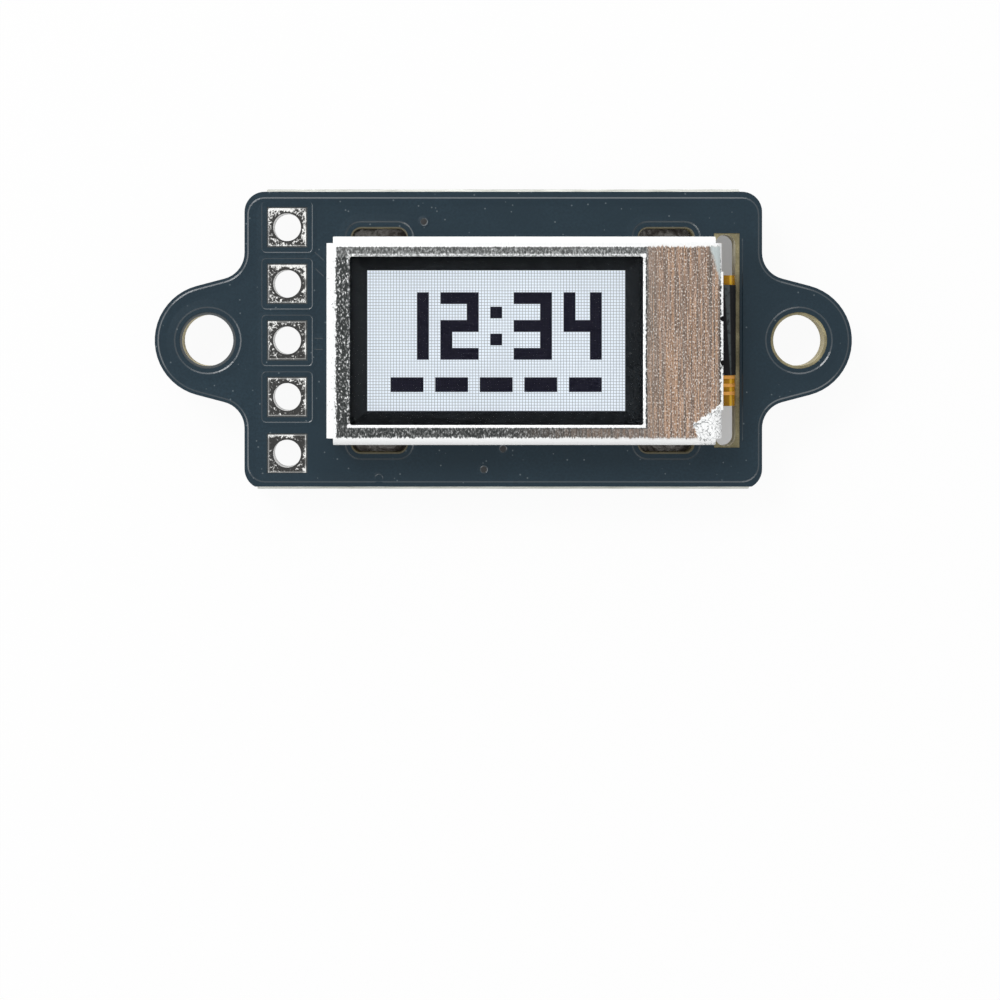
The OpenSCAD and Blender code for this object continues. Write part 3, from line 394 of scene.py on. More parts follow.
def laminate_finish(name, colour):
    """Glass-fibre edge: layers and broken fibres, pale where it was snapped, dark round the lands; hole and
    slot walls are paler cut laminate with painted light on top.
    """
    finish = Finish(name, Specular_IOR_Level=0.2)
    x, y, z = finish.axes()
    layers = finish.grain(2.0, 2.0, stretch=(0.5, 0.5, 7.0))
    fibres = finish.grain(12.0, 4.0, 0.7, stretch=(1.0, 1.0, 0.35))
    tone = layers.span(0.3, 0.7) * 0.6 + fibres.span(0.35, 0.75) * 0.4
    wall = finish.ramp(tone, (0.0, shade(colour, 0.6)), (0.5, colour), (1.0, shade(colour, 1.7)))
    snapped = y.span(MASK_HIGH.y - 0.04, MASK_HIGH.y)
    snapped = snapped.most((-y).span(-MASK_LOW.y - 0.04, -MASK_LOW.y))
    strands = finish.grain(7.0, 3.0, 0.65, stretch=(0.1, 0.1, 1.5))
    scored = finish.mix(strands.span(0.35, 0.65), (0.46, 0.47, 0.42), (0.80, 0.81, 0.76))
    torn = finish.mix(fibres.span(0.35, 0.7), (0.60, 0.61, 0.57), (0.93, 0.94, 0.91))
    middle = abs(z - BOARD_TOP / 2) + (strands - 0.5) * 0.5
    dry = finish.mix(1 - middle.span(0.16, 0.26), scored, torn)
    inside = z.span(0.01, 0.03) * (1 - z.span(BOARD_TOP - 0.03, BOARD_TOP - 0.01))
    aside = abs(x) - HOLE_X
    # Hole and slot walls: paler cut laminate, lifted further by painted light on walls that lie in shade, the
    # slot's walls most.
    drilled_and_lit = 1 - (aside * aside + y * y).span(1.5, 1.7)
    routed_and_lit = x.span(SLOT_X[0], SLOT_X[0] + 0.1) * (1 - x.span(SLOT_X[1] + 0.1, SLOT_X[1] + 0.2))
    wall = finish.mix(drilled_and_lit * inside * 0.8, wall, (0.66, 0.60, 0.42))
    wall = finish.mix(routed_and_lit * inside * 0.9, wall, (0.92, 0.88, 0.72))
    ringed = abs(y).span(4.2, 4.4) * (1 - x.span(8.6, 8.9)) * (1 - inside)
    wall = finish.mix(ringed, wall, (0.17, 0.155, 0.11))
    front = z.span(BOARD_TOP - 0.012, BOARD_TOP - 0.004) * (-x).span(8.2, 8.4)
    rear = (-z).span(-0.012, -0.004) * (-x).span(-9.0, -8.8)
    wall = finish.mix(snapped, wall, dry)
    wall = finish.mix(front.most(rear), wall, (0.085, 0.095, 0.10))
    flex_end = x.span(1.2, 1.3) * (1 - x.span(2.9, 3.0)) * rear
    finish.feed("Base Color", finish.mix(flex_end, wall, (0.020, 0.037, 0.050)))
    finish.feed("Roughness", fibres.span(0.3, 0.7, 0.6, 0.85))
    finish.bump(fibres, 0.03, 0.7)
    return finish


def tin_finish(name, colour, mottle=6.0, dark=0.2, metal=0.45, inside=None, **constants):
    """Levelled tin: bright patches, dull pools and small pits; inside is a painted shade for the part within
    the board, down in its slot.
    """
    finish = Finish(name, Metallic=metal, **constants)
    pools = finish.grain(mottle, 4.0, 0.65, twist=1.2)
    pits = finish.cells(mottle * 2.2)
    face = finish.mix(pools.span(0.38, 0.6), shade(colour, dark), colour)
    if inside:
        # Painted shade on the tin within the board.
        face = finish.mix(finish.axis("Z").span(-0.1, -0.02), face, inside)
    finish.feed("Base Color", face)
    finish.feed("Roughness", pools.span(0.3, 0.7, 0.42, 0.18))
    finish.bump(pools + pits * 0.4, 0.035, 0.7)
    return finish


def header_finish(name, colour):
    """Header lands: a dark mottled dish with bright flecks, fewer lower down, a thin painted highlight round
    the rim, stronger on the right and upper sides, and painted shade deeper down the plated bore.
    """
    finish = Finish(name, Metallic=0.4)
    x, upward, height = finish.axes()
    across = x - HEADER_X
    along = ((upward * (1 / HEADER_PITCH) + 0.5).math("FRACT") - 0.5) * HEADER_PITCH
    reach = abs(across).most(abs(along))
    radius = (across * across + along * along).math("SQRT")
    pools = finish.grain(8.0, 2.0, 0.6, twist=1.0)
    patch = finish.grain(1.6, 2.0)
    rim = reach.span(LAND / 2 - 0.06, LAND / 2 - 0.035)
    # Painted highlight on the right and upper sides of each land.
    painted_lit_side = across.most(along).span(LAND / 2 - 0.2, LAND / 2 - 0.05) * patch.span(0.42, 0.58)
    ring = 1 - (radius + pools * 0.1).span(LAND / 2 - 0.13, LAND / 2 - 0.06)
    lift = upward.span(-6.0, 6.0, -0.1, -0.02) + (patch - 0.5) * 0.3
    light = (pools + lift + painted_lit_side * 0.12 - ring * 0.16).span(0.47, 0.60)
    barrel = height.span(0.0, 0.03) * (1 - height.span(FRONT_Z - 0.05, FRONT_Z - 0.01))
    # Painted highlight round the rim.
    light = light.most(rim * (painted_lit_side * 0.6 + 0.25))
    face = finish.mix(light, shade(colour, 0.035), shade(colour, 1.15))
    # Painted shade down the plated bore, darker deeper in.
    plated = finish.mix(height.span(0.1, FRONT_Z), shade(colour, 0.4), shade(colour, 0.85))
    face = finish.mix(barrel, face, plated)
    calm = finish.ramp(pools + lift, (0.3, (0.10, 0.095, 0.095)), (0.7, (0.34, 0.33, 0.33)))
    calm = finish.mix(rim.most(ring * 0.6), calm, shade(colour, 0.75))
    finish.feed("Base Color", finish.mix(1 - height.span(-0.03, 0.0), face, calm))
    finish.feed("Roughness", pools.span(0.3, 0.7, 0.4, 0.2))
    finish.bump(pools, 0.03, 0.7)
    return finish


def plain_finish(name, colour, low=0.35, high=0.6, scale=4.0, depth=0.004, vary=0.12, **constants):
    """Moulded or coated surface: slight clouding, fine grain and uneven gloss."""
    finish = Finish(name, **constants)
    cloud = finish.grain(scale, 3.0)
    tone = cloud.span(0.3, 0.7)
    finish.feed("Base Color", finish.mix(tone, shade(colour, 1 - vary), shade(colour, 1 + vary)))
    finish.feed("Roughness", finish.grain(scale * 2.5).span(0.25, 0.75, low, high))
    finish.bump(finish.grain(scale * 4.0, 3.0), depth, 0.6)
    return finish


# Mesh tools


def new_piece(name, mesh, slot, *finishes):
    """Links a mesh as a piece of the module; a second finish is for its steep faces."""
    for finish in finishes:
        mesh.materials.append(finish.material)
    piece = bpy.data.objects.new(name, mesh)
    bpy.context.scene.collection.objects.link(piece)
    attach(piece, BODY)
    return piece


class Relief:
    """Collects low forms on one face of the board. Points and heights are in millimetres."""

    sink = -0.002
    steep = 0.96

    def __init__(self, base_z, up):
        self.bm = bmesh.new()
        self.base = base_z
        self.up = up

    def vertex(self, x, y, height):
        return self.bm.verts.new(Vector((x, y, self.base + self.up * height)) * MM)

    def loft(self, sections, closed_run=False):
        """Joins rings of points into a closed skin."""
        rings = [[self.vertex(*point) for point in section] for section in sections]
        pairs = list(zip(rings, rings[1:]))
        if closed_run:
            pairs.append((rings[-1], rings[0]))
        count = len(rings[0])
        for a, b in pairs:
            for i in range(count):
                j = (i + 1) % count
                self.bm.faces.new((a[i], a[j], b[j], b[i]))
        if not closed_run:
            self.bm.faces.new(rings[0])
            self.bm.faces.new(list(reversed(rings[-1])))

    def sweep(self, points, profile, closed=False):
        """Runs a profile of (distance to the left, height) along points, mitred at the bends."""
        spots = [Vector(p) for p in points]
        count = len(spots)
        sections = []
        for i, spot in enumerate(spots):
            runs = []
            if i or closed:
                runs.append((spot - spots[i - 1]).normalized())
            if i + 1 < count or closed:
                runs.append((spots[(i + 1) % count] - spot).normalized())
            run = sum(runs, Vector((0.0, 0.0))).normalized()
            side = Vector((-run.y, run.x))
            side /= max(0.5, side.dot(Vector((-runs[0].y, runs[0].x))))
            sections.append([(spot.x + side.x * u, spot.y + side.y * u, h) for u, h in profile])
        self.loft(sections, closed)

    def step(self, points, closed=False, share=1.0):
        """Edge of the copper under the mask: steep to the left of the run, fading out to the right."""
        sizes = relief()
        rise, width = sizes.step_height / MM * share, sizes.step_width / MM * share
        profile = ((width, self.sink), (0.0, rise), (-5 * width, self.sink))
        self.sweep(points, profile, closed)

    def trace(self, points):
        """A trace under the mask, with a flat top."""
        sizes = relief()
        half, rise = sizes.trace_width / MM / 2, sizes.step_height / MM
        slope = half * 0.5
        profile = ((half, self.sink), (half - slope, rise), (slope - half, rise), (-half, self.sink))
        self.sweep(points, profile)

    def turned(self, centre, profile, steps=28):
        """A ring: a closed profile of (radius, height) turned about centre."""
        sections = []
        for i in range(steps):
            turn = 2 * math.pi * i / steps
            cos, sin = math.cos(turn), math.sin(turn)
            sections.append([(centre[0] + r * cos, centre[1] + r * sin, h) for r, h in profile])
        self.loft(sections, closed_run=True)

    def plug(self, centre, radius, height, steps=20):
        """A low dome with a flat underside."""
        levels = ((radius, self.sink), (radius * 0.85, height * 0.6), (radius * 0.45, height))
        self.loft([[(*p, h) for p in arc(centre, r, 0, 360, steps)[:-1]] for r, h in levels])

    def finish_mesh(self, name):
        """Closes the mesh; faces steeper than the slow side of a step take the second finish."""
        bmesh.ops.recalc_face_normals(self.bm, faces=self.bm.faces)
        for face in self.bm.faces:
            face.material_index = int(abs(face.normal.z) < self.steep)
        mesh = bpy.data.meshes.new(name)
        self.bm.to_mesh(mesh)
        self.bm.free()
        return mesh


def arc(centre, radius, start, end, steps=10):
    """Points along an arc; the angles are in degrees."""
    turns = [math.radians(start + (end - start) * i / steps) for i in range(steps + 1)]
    return [(centre[0] + radius * math.cos(t), centre[1] + radius * math.sin(t)) for t in turns]


def rounded_loop(centre, half_x, half_y, radius):
    """A rounded rectangle, against the clock."""
    x, y = centre
    a, b = half_x - radius, half_y - radius
    corners = ((x + a, y + b, 0), (x - a, y + b, 90), (x - a, y - b, 180), (x + a, y - b, 270))
    return [p for cx, cy, turn in corners for p in arc((cx, cy), radius, turn, turn + 90, 5)]


def board_loop(inset, top_y, low_y):
    """The board's outline with both ears, moved inwards, with the clock."""
    slope = math.degrees(EAR_SLOPE)
    flank = (EAR_R + EAR_REACH * math.sin(EAR_SLOPE)) / math.cos(EAR_SLOPE)
    fillet_y = flank - EAR_FILLET * math.tan(EAR_SLOPE) + EAR_FILLET / math.cos(EAR_SLOPE)
    quarter = arc((SIDE_X + EAR_REACH, 0.0), EAR_R - inset, 0, 90 - slope, 14)
    quarter += arc((SIDE_X + EAR_FILLET, fillet_y), EAR_FILLET + inset, 270 - slope, 180, 8)

    def corner(edge_y):
        return arc((SIDE_X - CORNER_R, edge_y - CORNER_R), CORNER_R - inset, 0, 90, 6)

    upper = quarter + corner(top_y)
    lower = quarter + corner(-low_y)
    left = [(-x, y) for x, y in reversed(upper)]
    left_low = [(-x, -y) for x, y in lower[1:]]
    right_low = [(x, -y) for x, y in reversed(lower[1:])]
    loop = upper + left + left_low + right_low
    return list(reversed(loop))


def pour_loop(low, high):
    """Edge of the copper pour on the face whose mask spans low to high."""
    return board_loop(relief().pour_inset / MM, high.y - POUR_TOP, low.y + POUR_LOW)


def number_mesh(name, text, size, depth):
    """A plain number as a flat mesh, in metres."""
    curve = bpy.data.curves.new(name, "FONT")
    curve.body = text
    curve.size = size
    curve.extrude = depth / 2
    curve.align_x = "CENTER"
    curve.align_y = "CENTER"
    holder = bpy.data.objects.new(name, curve)
    mesh = bpy.data.meshes.new_from_object(holder)
    bpy.data.objects.remove(holder)
    bpy.data.curves.remove(curve)
    return mesh


def rear_numbers(name, places, size, depth, turn=0.0):
    """One mesh of several numbers that read from the rear; places are (text, x, y, z) in millimetres."""
    bm = bmesh.new()
    for text, x, y, z in places:
        mesh = number_mesh(name, text, size, depth)
        facing = Matrix.Rotation(math.pi, 4, "Y") @ Matrix.Rotation(turn, 4, "Z")
        mesh.transform(Matrix.Translation(Vector((x, y, z)) * MM) @ facing)
        bm.from_mesh(mesh)
        bpy.data.meshes.remove(mesh)
    joined = bpy.data.meshes.new(name)
    bm.to_mesh(joined)
    bm.free()
    return joined


# Operators


class ModuleOperator:
    """Shared by the operators of this add-on."""

    bl_options = {"REGISTER", "UNDO"}


def colours():
    return bpy.context.scene.module_colours


def relief():
    return bpy.context.scene.module_relief


class MODULE_OT_board(ModuleOperator, bpy.types.Operator):
    """Finish the bare board and the mask on both faces"""

    bl_idname = "display_module.board"
    bl_label = "Board"

    def execute(self, context):
        dress(laminate_finish("laminate_edge", colours().laminate[:]), "circuit_board")
        dress(mask_finish("slate_mask", colours().mask[:]), "solder_mask_front", "solder_mask_rear")
        return {"FINISHED"}


class MODULE_OT_lands(ModuleOperator, bpy.types.Operator):
    """Finish the plated lands and the solder"""

    bl_idname = "display_module.lands"
    bl_label = "Lands and solder"

    def execute(self, context):
        tin = colours().tin[:]
        dress(header_finish("header_tin", tin), "header_lands")
        dress(tin_finish("levelled_tin", tin), "tab_lands", "chip_lands")
        dress(tin_finish("fillet_solder", tin, 7.0, 0.25), "chip_solder", "regulator_solder")
        shadow = (0.028, 0.020, 0.016)
        dress(tin_finish("flowed_solder", tin, 1.5, 0.22, 0.8, shadow, Specular_IOR_Level=0.2), "tab_solder")
        return {"FINISHED"}


class MODULE_OT_bezel(ModuleOperator, bpy.types.Operator):
    """Finish the folded metal bezel: folds with a painted highlight, mottled strips, brushed end and one
    scuffed corner
    """

    bl_idname = "display_module.bezel"
    bl_label = "Bezel"

    white, bare, dull = (0.95, 0.96, 0.96), (0.50, 0.56, 0.56), (0.42, 0.43, 0.43)
    scuff_tip = (8.29, -3.674)
    tail_reach = 6.5

    def execute(self, context):
        finish = Finish("brushed_bezel")
        x, y, height = finish.axes()
        peel = finish.grain(13.0, 2.0, 0.6, stretch=(1.0, 0.6, 1.0), twist=0.3)
        hairs = finish.grain(16.0, 2.0, 0.6, stretch=(1.0, 0.05, 1.0))
        wander = finish.grain(5.0, 3.0, 0.6) - 0.5
        end = (x - WINDOW_RIGHT + wander * 0.1).span(0.14, 0.22)
        tail = x.span(WINDOW_RIGHT - self.tail_reach, WINDOW_RIGHT)
        end = end.most(tail * (-y).span(WINDOW_TOP + 0.12, WINDOW_TOP + 0.2) * 0.6)
        # Painted highlight on the folds: white and not metallic.
        fold_highlight = self.folds(x, y, hairs - 0.5, end)
        strip = self.strips(finish, x, y, peel, fold_highlight)
        brown = end * (CAN_X[1] - x).span(0.10, 0.18) * (1 - fold_highlight)
        base = finish.mix(brown, strip, self.brushed(finish, x, hairs))
        base = finish.mix(self.pale_corner(x, y, wander) * (1 - fold_highlight), base, self.bare)
        curls = abs(finish.grain(2.4, 2.0, 0.6, twist=1.6) - 0.5).span(0.0, 0.04)
        scratched = finish.mix(curls, (0.22, 0.23, 0.23), self.white)
        base = finish.mix(self.scuff(x, y, wander), base, scratched)
        wall = 1 - height.span(BEZEL_HIGH.z - 0.5, BEZEL_HIGH.z - 0.26)
        drawn = finish.grain(9.0, 3.0, 0.6, stretch=(0.05, 0.05, 1.0))
        steel = finish.ramp(drawn, (0.34, (0.44, 0.44, 0.43)), (0.66, (0.70, 0.70, 0.68)))
        base = finish.mix(wall, base, steel)
        behind = 1 - height.span(-0.02, 0.02)
        finish.feed("Base Color", finish.mix(behind, base, self.dull))
        finish.feed("Metallic", ((1 - fold_highlight) * 0.4).most(wall * 0.85))
        finish.feed("Roughness", hairs.span(0.3, 0.7, 0.24, 0.44))
        finish.bump(brown * hairs + (1 - brown) * (1 - fold_highlight) * peel + wall * drawn * 0.4, 0.03, 0.7)
        dress(finish, "display_bezel")
        return {"FINISHED"}

    def folds(self, x, y, fray, end):
        """Bent edges, smooth, with a painted white highlight; over the brushed end the upper one frays out.
        """
        left = 1 - (x - CAN_X[0]).span(0.33, 0.50)
        top = 1 - (CAN_HALF - y + fray * (end * 0.25 + 0.08)).span(0.39, 0.49)
        low = 1 - (y + CAN_HALF + fray * 0.2).span(0.22, 0.40)
        right = (1 - (CAN_X[1] - x).span(0.03, 0.12)) * y.span(2.3, 2.8, 0.82, 0.95)
        return left.most(top, low, right)

    def strips(self, finish, x, y, peel, fold_highlight):
        """Mottled strips between the folds and the window, with a painted highlight along the window's edge,
        stronger at the right and below, and the folds' painted highlight carried in.
        """
        gap = (WINDOW_LEFT - x).most(x - WINDOW_RIGHT, abs(y) - WINDOW_TOP)
        # Painted highlight along the window's edge, stronger at the right side and below the window.
        edge = 1 - gap.span(0.08, 0.15)
        upper = y.span(WINDOW_TOP - 0.1, WINDOW_TOP)
        lower = (-y).span(WINDOW_TOP - 0.1, WINDOW_TOP)
        strong = x.span(WINDOW_RIGHT - 0.1, WINDOW_RIGHT).most(lower)
        shift = upper * 0.195 + lower * 0.085 - 0.17 + edge * (strong * 0.26 + 0.16) + fold_highlight * 0.7
        mottle = (peel - 0.5) * (2.2 - upper * 1.55 - lower * 1.1) * (1 - edge * strong * 0.7) + 0.5
        return finish.ramp(
            mottle + shift,
            (0.34, (0.02, 0.024, 0.024)),
            (0.5, (0.10, 0.104, 0.103)),
            (0.6, (0.30, 0.31, 0.31)),
            (0.75, self.white),
        )

    def brushed(self, finish, x, hairs):
        """Upright lanes of warm and grey metal under fine hairs, dense pale flecks and dark ones."""
        metal = colours().bezel[:]
        lanes = finish.grain(13.0, 1.0, 0.5, stretch=(1.0, 0.012, 1.0))
        flecks = finish.grain(18.0, 1.0, 0.5, stretch=(1.0, 0.6, 1.0))
        tone = finish.ramp(lanes, (0.36, (0.20, 0.16, 0.132)), (0.5, metal), (0.64, (0.43, 0.273, 0.176)))
        sheen = finish.ramp(hairs, (0.34, (0.6, 0.6, 0.6)), (0.66, (1.3, 1.3, 1.3)))
        tone = finish.mix(1.0, tone, sheen, "MULTIPLY")
        tone = finish.mix(flecks.span(0.585, 0.665) * 0.9, tone, (0.74, 0.69, 0.64))
        tone = finish.mix((1 - flecks).span(0.595, 0.675) * 0.85, tone, shade(metal, 0.2))
        cool = 1 - x.span(WINDOW_RIGHT, WINDOW_RIGHT + 1.2)
        return finish.mix(cool * 0.35, tone, (0.235, 0.21, 0.187))

    def pale_corner(self, x, y, wander):
        """Bare patch at the upper right that narrows downwards."""
        return (y * 0.29 + x + wander * 0.2).span(10.18, 10.36) * (CAN_X[1] - x).span(0.06, 0.12)

    def scuff(self, x, y, wander):
        """Scratched patch at the lower right."""
        tip_x, tip_y = self.scuff_tip
        above = (x - tip_x) * 0.738 - y + tip_y
        side = (y - tip_y) * 0.38 + x - tip_x
        return (above.math("MINIMUM", side) + wander * 0.5).span(0.0, 0.05)


class MODULE_OT_screen(ModuleOperator, bpy.types.Operator):
    """Finish the lit pixels, their border, the glasses and the polarizers"""

    bl_idname = "display_module.screen"
    bl_label = "Screen"

    def execute(self, context):
        self.pixels("pixel_layer", "lit_pixels", colours().screen[:], 0.42)
        self.pixels("dark_pixels", "dark_pixels", (0.003, 0.003, 0.007), 1.5)
        border = plain_finish("border_ink", (0.0078, 0.0105, 0.0132), 0.3, 0.45, 6.0, Specular_IOR_Level=0.15)
        dress(border, "black_border")
        clear = (0.012, 0.013, 0.014)
        for node, name, alpha in (
            ("front_polarizer", "polarizer_face", 0.012),
            ("front_glass", "front_sheet_glass", 0.004),
            ("rear_glass", "rear_sheet_glass", 0.2),
            ("rear_polarizer", "rear_polarizer_face", 0.6),
        ):
            finish = plain_finish(name, clear, 0.32, 0.44, 2.0, 0.0005, Specular_IOR_Level=0.2)
            finish.feed("Alpha", finish.grain(0.5, 2.0).span(0.3, 0.7, alpha * 0.9, alpha * 1.1))
            dress(finish, node)
        dress(plain_finish("driver_silicon", (0.10, 0.11, 0.13), 0.12, 0.25, 2.0), "driver_chip")
        return {"FINISHED"}

    def pixels(self, node, name, bright, line):
        """Square pixels between fine lines; line is the brightness of the lines."""
        finish = Finish(name, Roughness=0.5, Specular_IOR_Level=0.1, Emission_Strength=0.83)
        pitch_x = (PIXEL_HIGH.x - PIXEL_LOW.x) / PIXEL_COLUMNS
        pitch_y = (PIXEL_HIGH.y - PIXEL_LOW.y) / PIXEL_ROWS
        across = (finish.axis("X") - PIXEL_LOW.x) * (1 / pitch_x)
        upward = (finish.axis("Y") - PIXEL_LOW.y) * (1 / pitch_y)
        grid = abs(across.math("FRACT") - 0.5).most(abs(upward.math("FRACT") - 0.5)).span(0.35, 0.47)
        cloud = finish.grain(0.25, 2.0).span(0.3, 0.7)
        field = finish.mix(cloud, shade(bright, 0.96), shade(bright, 1.03))
        colour = finish.mix(grid, field, shade(bright, line))
        finish.feed("Base Color", colour)
        finish.feed("Emission Color", colour)
        dress(finish, node)


class MODULE_OT_backlight(ModuleOperator, bpy.types.Operator):
    """Finish the sealed sheets, frame and light sources behind the screen"""

    bl_idname = "display_module.backlight"
    bl_label = "Backlight"

    def execute(self, context):
        dress(plain_finish("moulded_frame", (0.82, 0.83, 0.81), 0.4, 0.6), "backlight_frame")
        dress(plain_finish("diffuser_film", (0.84, 0.85, 0.84), 0.5, 0.7), "diffuser_sheet")
        lens = plain_finish("lens_film", (0.76, 0.80, 0.82), 0.2, 0.35)
        dress(lens, "prism_sheet_upper", "prism_sheet_lower")
        dress(plain_finish("mirror_film", (0.80, 0.82, 0.83), 0.1, 0.25, Metallic=1.0), "reflector_sheet")
        dress(plain_finish("guide_acrylic", (0.72, 0.84, 0.88), 0.08, 0.2), "light_guide")
        dress(plain_finish("light_source", (0.85, 0.76, 0.42), 0.3, 0.5), "backlight_leds")
        dress(plain_finish("strip_film", (0.50, 0.24, 0.04), 0.3, 0.5), "led_strip")
        tape = plain_finish("black_tape", (0.03, 0.03, 0.03), 0.6, 0.85, 8.0, 0.01)
        dress(tape, "rim_tape", "mounting_tape")
        return {"FINISHED"}


class MODULE_OT_flex(ModuleOperator, bpy.types.Operator):
    """Finish the amber film, its conductors and the black cover"""

    bl_idname = "display_module.flex"
    bl_label = "Flex tail"

    crest_x = 10.06
    glare_x = 8.7

    def execute(self, context):
        dress(self.film(colours().film[:]), "flex_film")
        dress(self.conductors(), "flex_conductors")
        dress(self.cover(), "bend_cover")
        return {"FINISHED"}

    def film(self, amber):
        """Amber film: lit along the crest of the bend; at the rear a band of glare, paste and a smear."""
        film = Finish("amber_film", Specular_IOR_Level=0.16)
        x, y, z = film.axes()
        cloud = film.grain(0.6, 3.0, 0.6, twist=0.6)
        body = film.mix(cloud.span(0.3, 0.7), shade(amber, 0.6), shade(amber, 1.2))
        lit = (1 - abs(x - self.crest_x).span(0.02, 0.09)) * z.span(1.0, 1.3)
        body = film.mix(lit * 0.7, body, (0.85, 0.52, 0.03))
        flat = film.mix(cloud.span(0.35, 0.65), (0.20, 0.13, 0.016), (0.34, 0.155, 0.016))
        flat = film.mix(1 - x.span(4.1, 4.7), flat, (0.14, 0.112, 0.04))
        glare = (1 - abs(x - self.glare_x).span(0.3, 0.55)) * (1 - abs(y).span(2.5, 2.8))
        flat = film.mix(glare * 0.6, flat, (0.82, 0.62, 0.36))
        aside = (abs(y) + cloud * 1.2).span(2.5, 3.4)
        paste = (x + cloud * 1.6).span(8.1, 9.0) * aside * y.span(-1.0, 1.0, 0.9, 0.03)
        smear = x.span(9.05, 9.25) * y.span(2.7, 2.9) * (1 - y.span(3.9, 4.2))
        flat = film.mix(paste.most(smear * 0.6), flat, (0.82, 0.70, 0.52))
        film.feed("Base Color", film.mix((-z).span(0.0, 0.03), body, flat))
        film.feed("Roughness", film.grain(3.0).span(0.3, 0.7, 0.18, 0.34))
        film.bump(film.grain(2.0, 3.0), 0.02, 0.5)
        return film

    def conductors(self):
        """Gold conductors, redder at the rear, with the same band of glare."""
        wire = Finish("gold_conductor", Metallic=0.25)
        x, y, z = wire.axes()
        rear = (-z).span(0.0, 0.03)
        tone = wire.grain(2.5, 3.0).span(0.3, 0.7)
        gold = wire.mix(tone, (0.66, 0.27, 0.035), (0.82, 0.40, 0.07))
        gold = wire.mix(rear, gold, wire.mix(tone, (0.78, 0.28, 0.04), (0.92, 0.36, 0.06)))
        glare = (1 - abs(x - self.glare_x).span(0.45, 0.85)) * (1 - abs(y).span(2.4, 2.6))
        wire.feed("Base Color", wire.mix(glare * rear * 0.8, gold, (0.98, 0.78, 0.44)))
        wire.feed("Roughness", tone.span(0.0, 1.0, 0.26, 0.42))
        wire.bump(wire.grain(12.0, 3.0), 0.006, 0.5)
        return wire

    def cover(self):
        """Black cover over the bend, with a slanted streak of sheen that narrows downwards."""
        cover = Finish("black_cover", Specular_IOR_Level=0.1)
        x, y = cover.axes("XY")
        streak = (y * 0.075 + x).span(9.89, 9.97) * (1 - (y * 0.02 + x).span(10.02, 10.09))
        # Painted sheen along the slanted streak.
        painted_sheen = streak * cover.grain(4.0, 2.0).span(0.2, 0.5)
        cover.feed("Base Color", cover.mix(painted_sheen, (0.006, 0.006, 0.007), (0.074, 0.088, 0.092)))
        cover.feed("Roughness", cover.grain(12.0).span(0.25, 0.75, 0.4, 0.6))
        cover.bump(cover.grain(20.0, 3.0), 0.006, 0.6)
        return cover


class MODULE_OT_flex_joints(ModuleOperator, bpy.types.Operator):
    """Add narrow lands and lumpy solder joints at the end of the flex tail"""

    bl_idname = "display_module.flex_joints"
    bl_label = "Flex joints"

    count = 14
    pitch_margin = 0.22
    lump_reach = 0.9
    lump_shifts = (0.0, 0.14, -0.12, 0.2, 0.05, -0.18, 0.1)

    def execute(self, context):
        tin = tin_finish("joint_solder", colours().tin[:], 8.0, 0.22)
        low, high = mm_box("flex_lands")
        lands, joints = Relief(0.0, -1), Relief(low.z, -1)
        first, last = low.y + self.pitch_margin, high.y - self.pitch_margin
        half = relief().joint_width / MM / 2
        for i in range(self.count):
            y = first + (last - first) * i / (self.count - 1)
            outline = arc((low.x + half, y), half, 90, 270, 8) + [(high.x, y - half), (high.x, y + half)]
            lands.loft([[(*point, h) for point in outline] for h in (0.0, -low.z)])
            joints.loft([self.section(y, half, *station) for station in self.stations(low, i)])
        pads = new_piece("flex_pads", lands.finish_mesh("flex_pads"), "tin", tin, tin)
        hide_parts("flex_lands")
        domes = new_piece("flex_joints", joints.finish_mesh("flex_joints"), "solder", tin, tin)
        domes.data.shade_smooth()
        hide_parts("flex_solder")
        return {"FINISHED"}

    def section(self, y, half, x, base, wide, tall):
        """Half an ellipse standing on the land or on the film."""
        turns = [math.pi * i / 8 for i in range(9)]
        return [(x, y + half * wide * math.cos(t), base + tall * math.sin(t)) for t in turns]

    def stations(self, land_low, index):
        """Along one joint: place, height of what it stands on, width as a share, height."""
        film_end = mm_box("flex_film")[0].x
        end = mm_box("flex_solder")[1].x
        step = land_low.z - mm_box("flex_conductors")[0].z
        lump = film_end + self.lump_reach + self.lump_shifts[index % len(self.lump_shifts)]
        start = land_low.x
        return (
            (start + 0.01, 0.0, 0.45, 0.012),
            (start + 0.06, 0.0, 0.8, 0.045),
            (start + 0.15, 0.0, 0.98, 0.065),
            (film_end - 0.35, 0.0, 0.98, 0.07),
            (film_end - 0.14, 0.0, 1.08, step * 0.7),
            (film_end - 0.006, 0.0, 1.25, step + 0.09),
            (film_end, step, 1.27, 0.09),
            (film_end + 0.12, step, 1.3, 0.1),
            (film_end + 0.28, step, 0.95, 0.06),
            (lump - 0.16, step, 0.95, 0.05),
            (lump, step, 1.35, 0.085),
            (lump + 0.16, step, 0.95, 0.05),
            (end - 0.25, step, 0.95, 0.035),
            (end, step, 0.9, 0.012),
        )


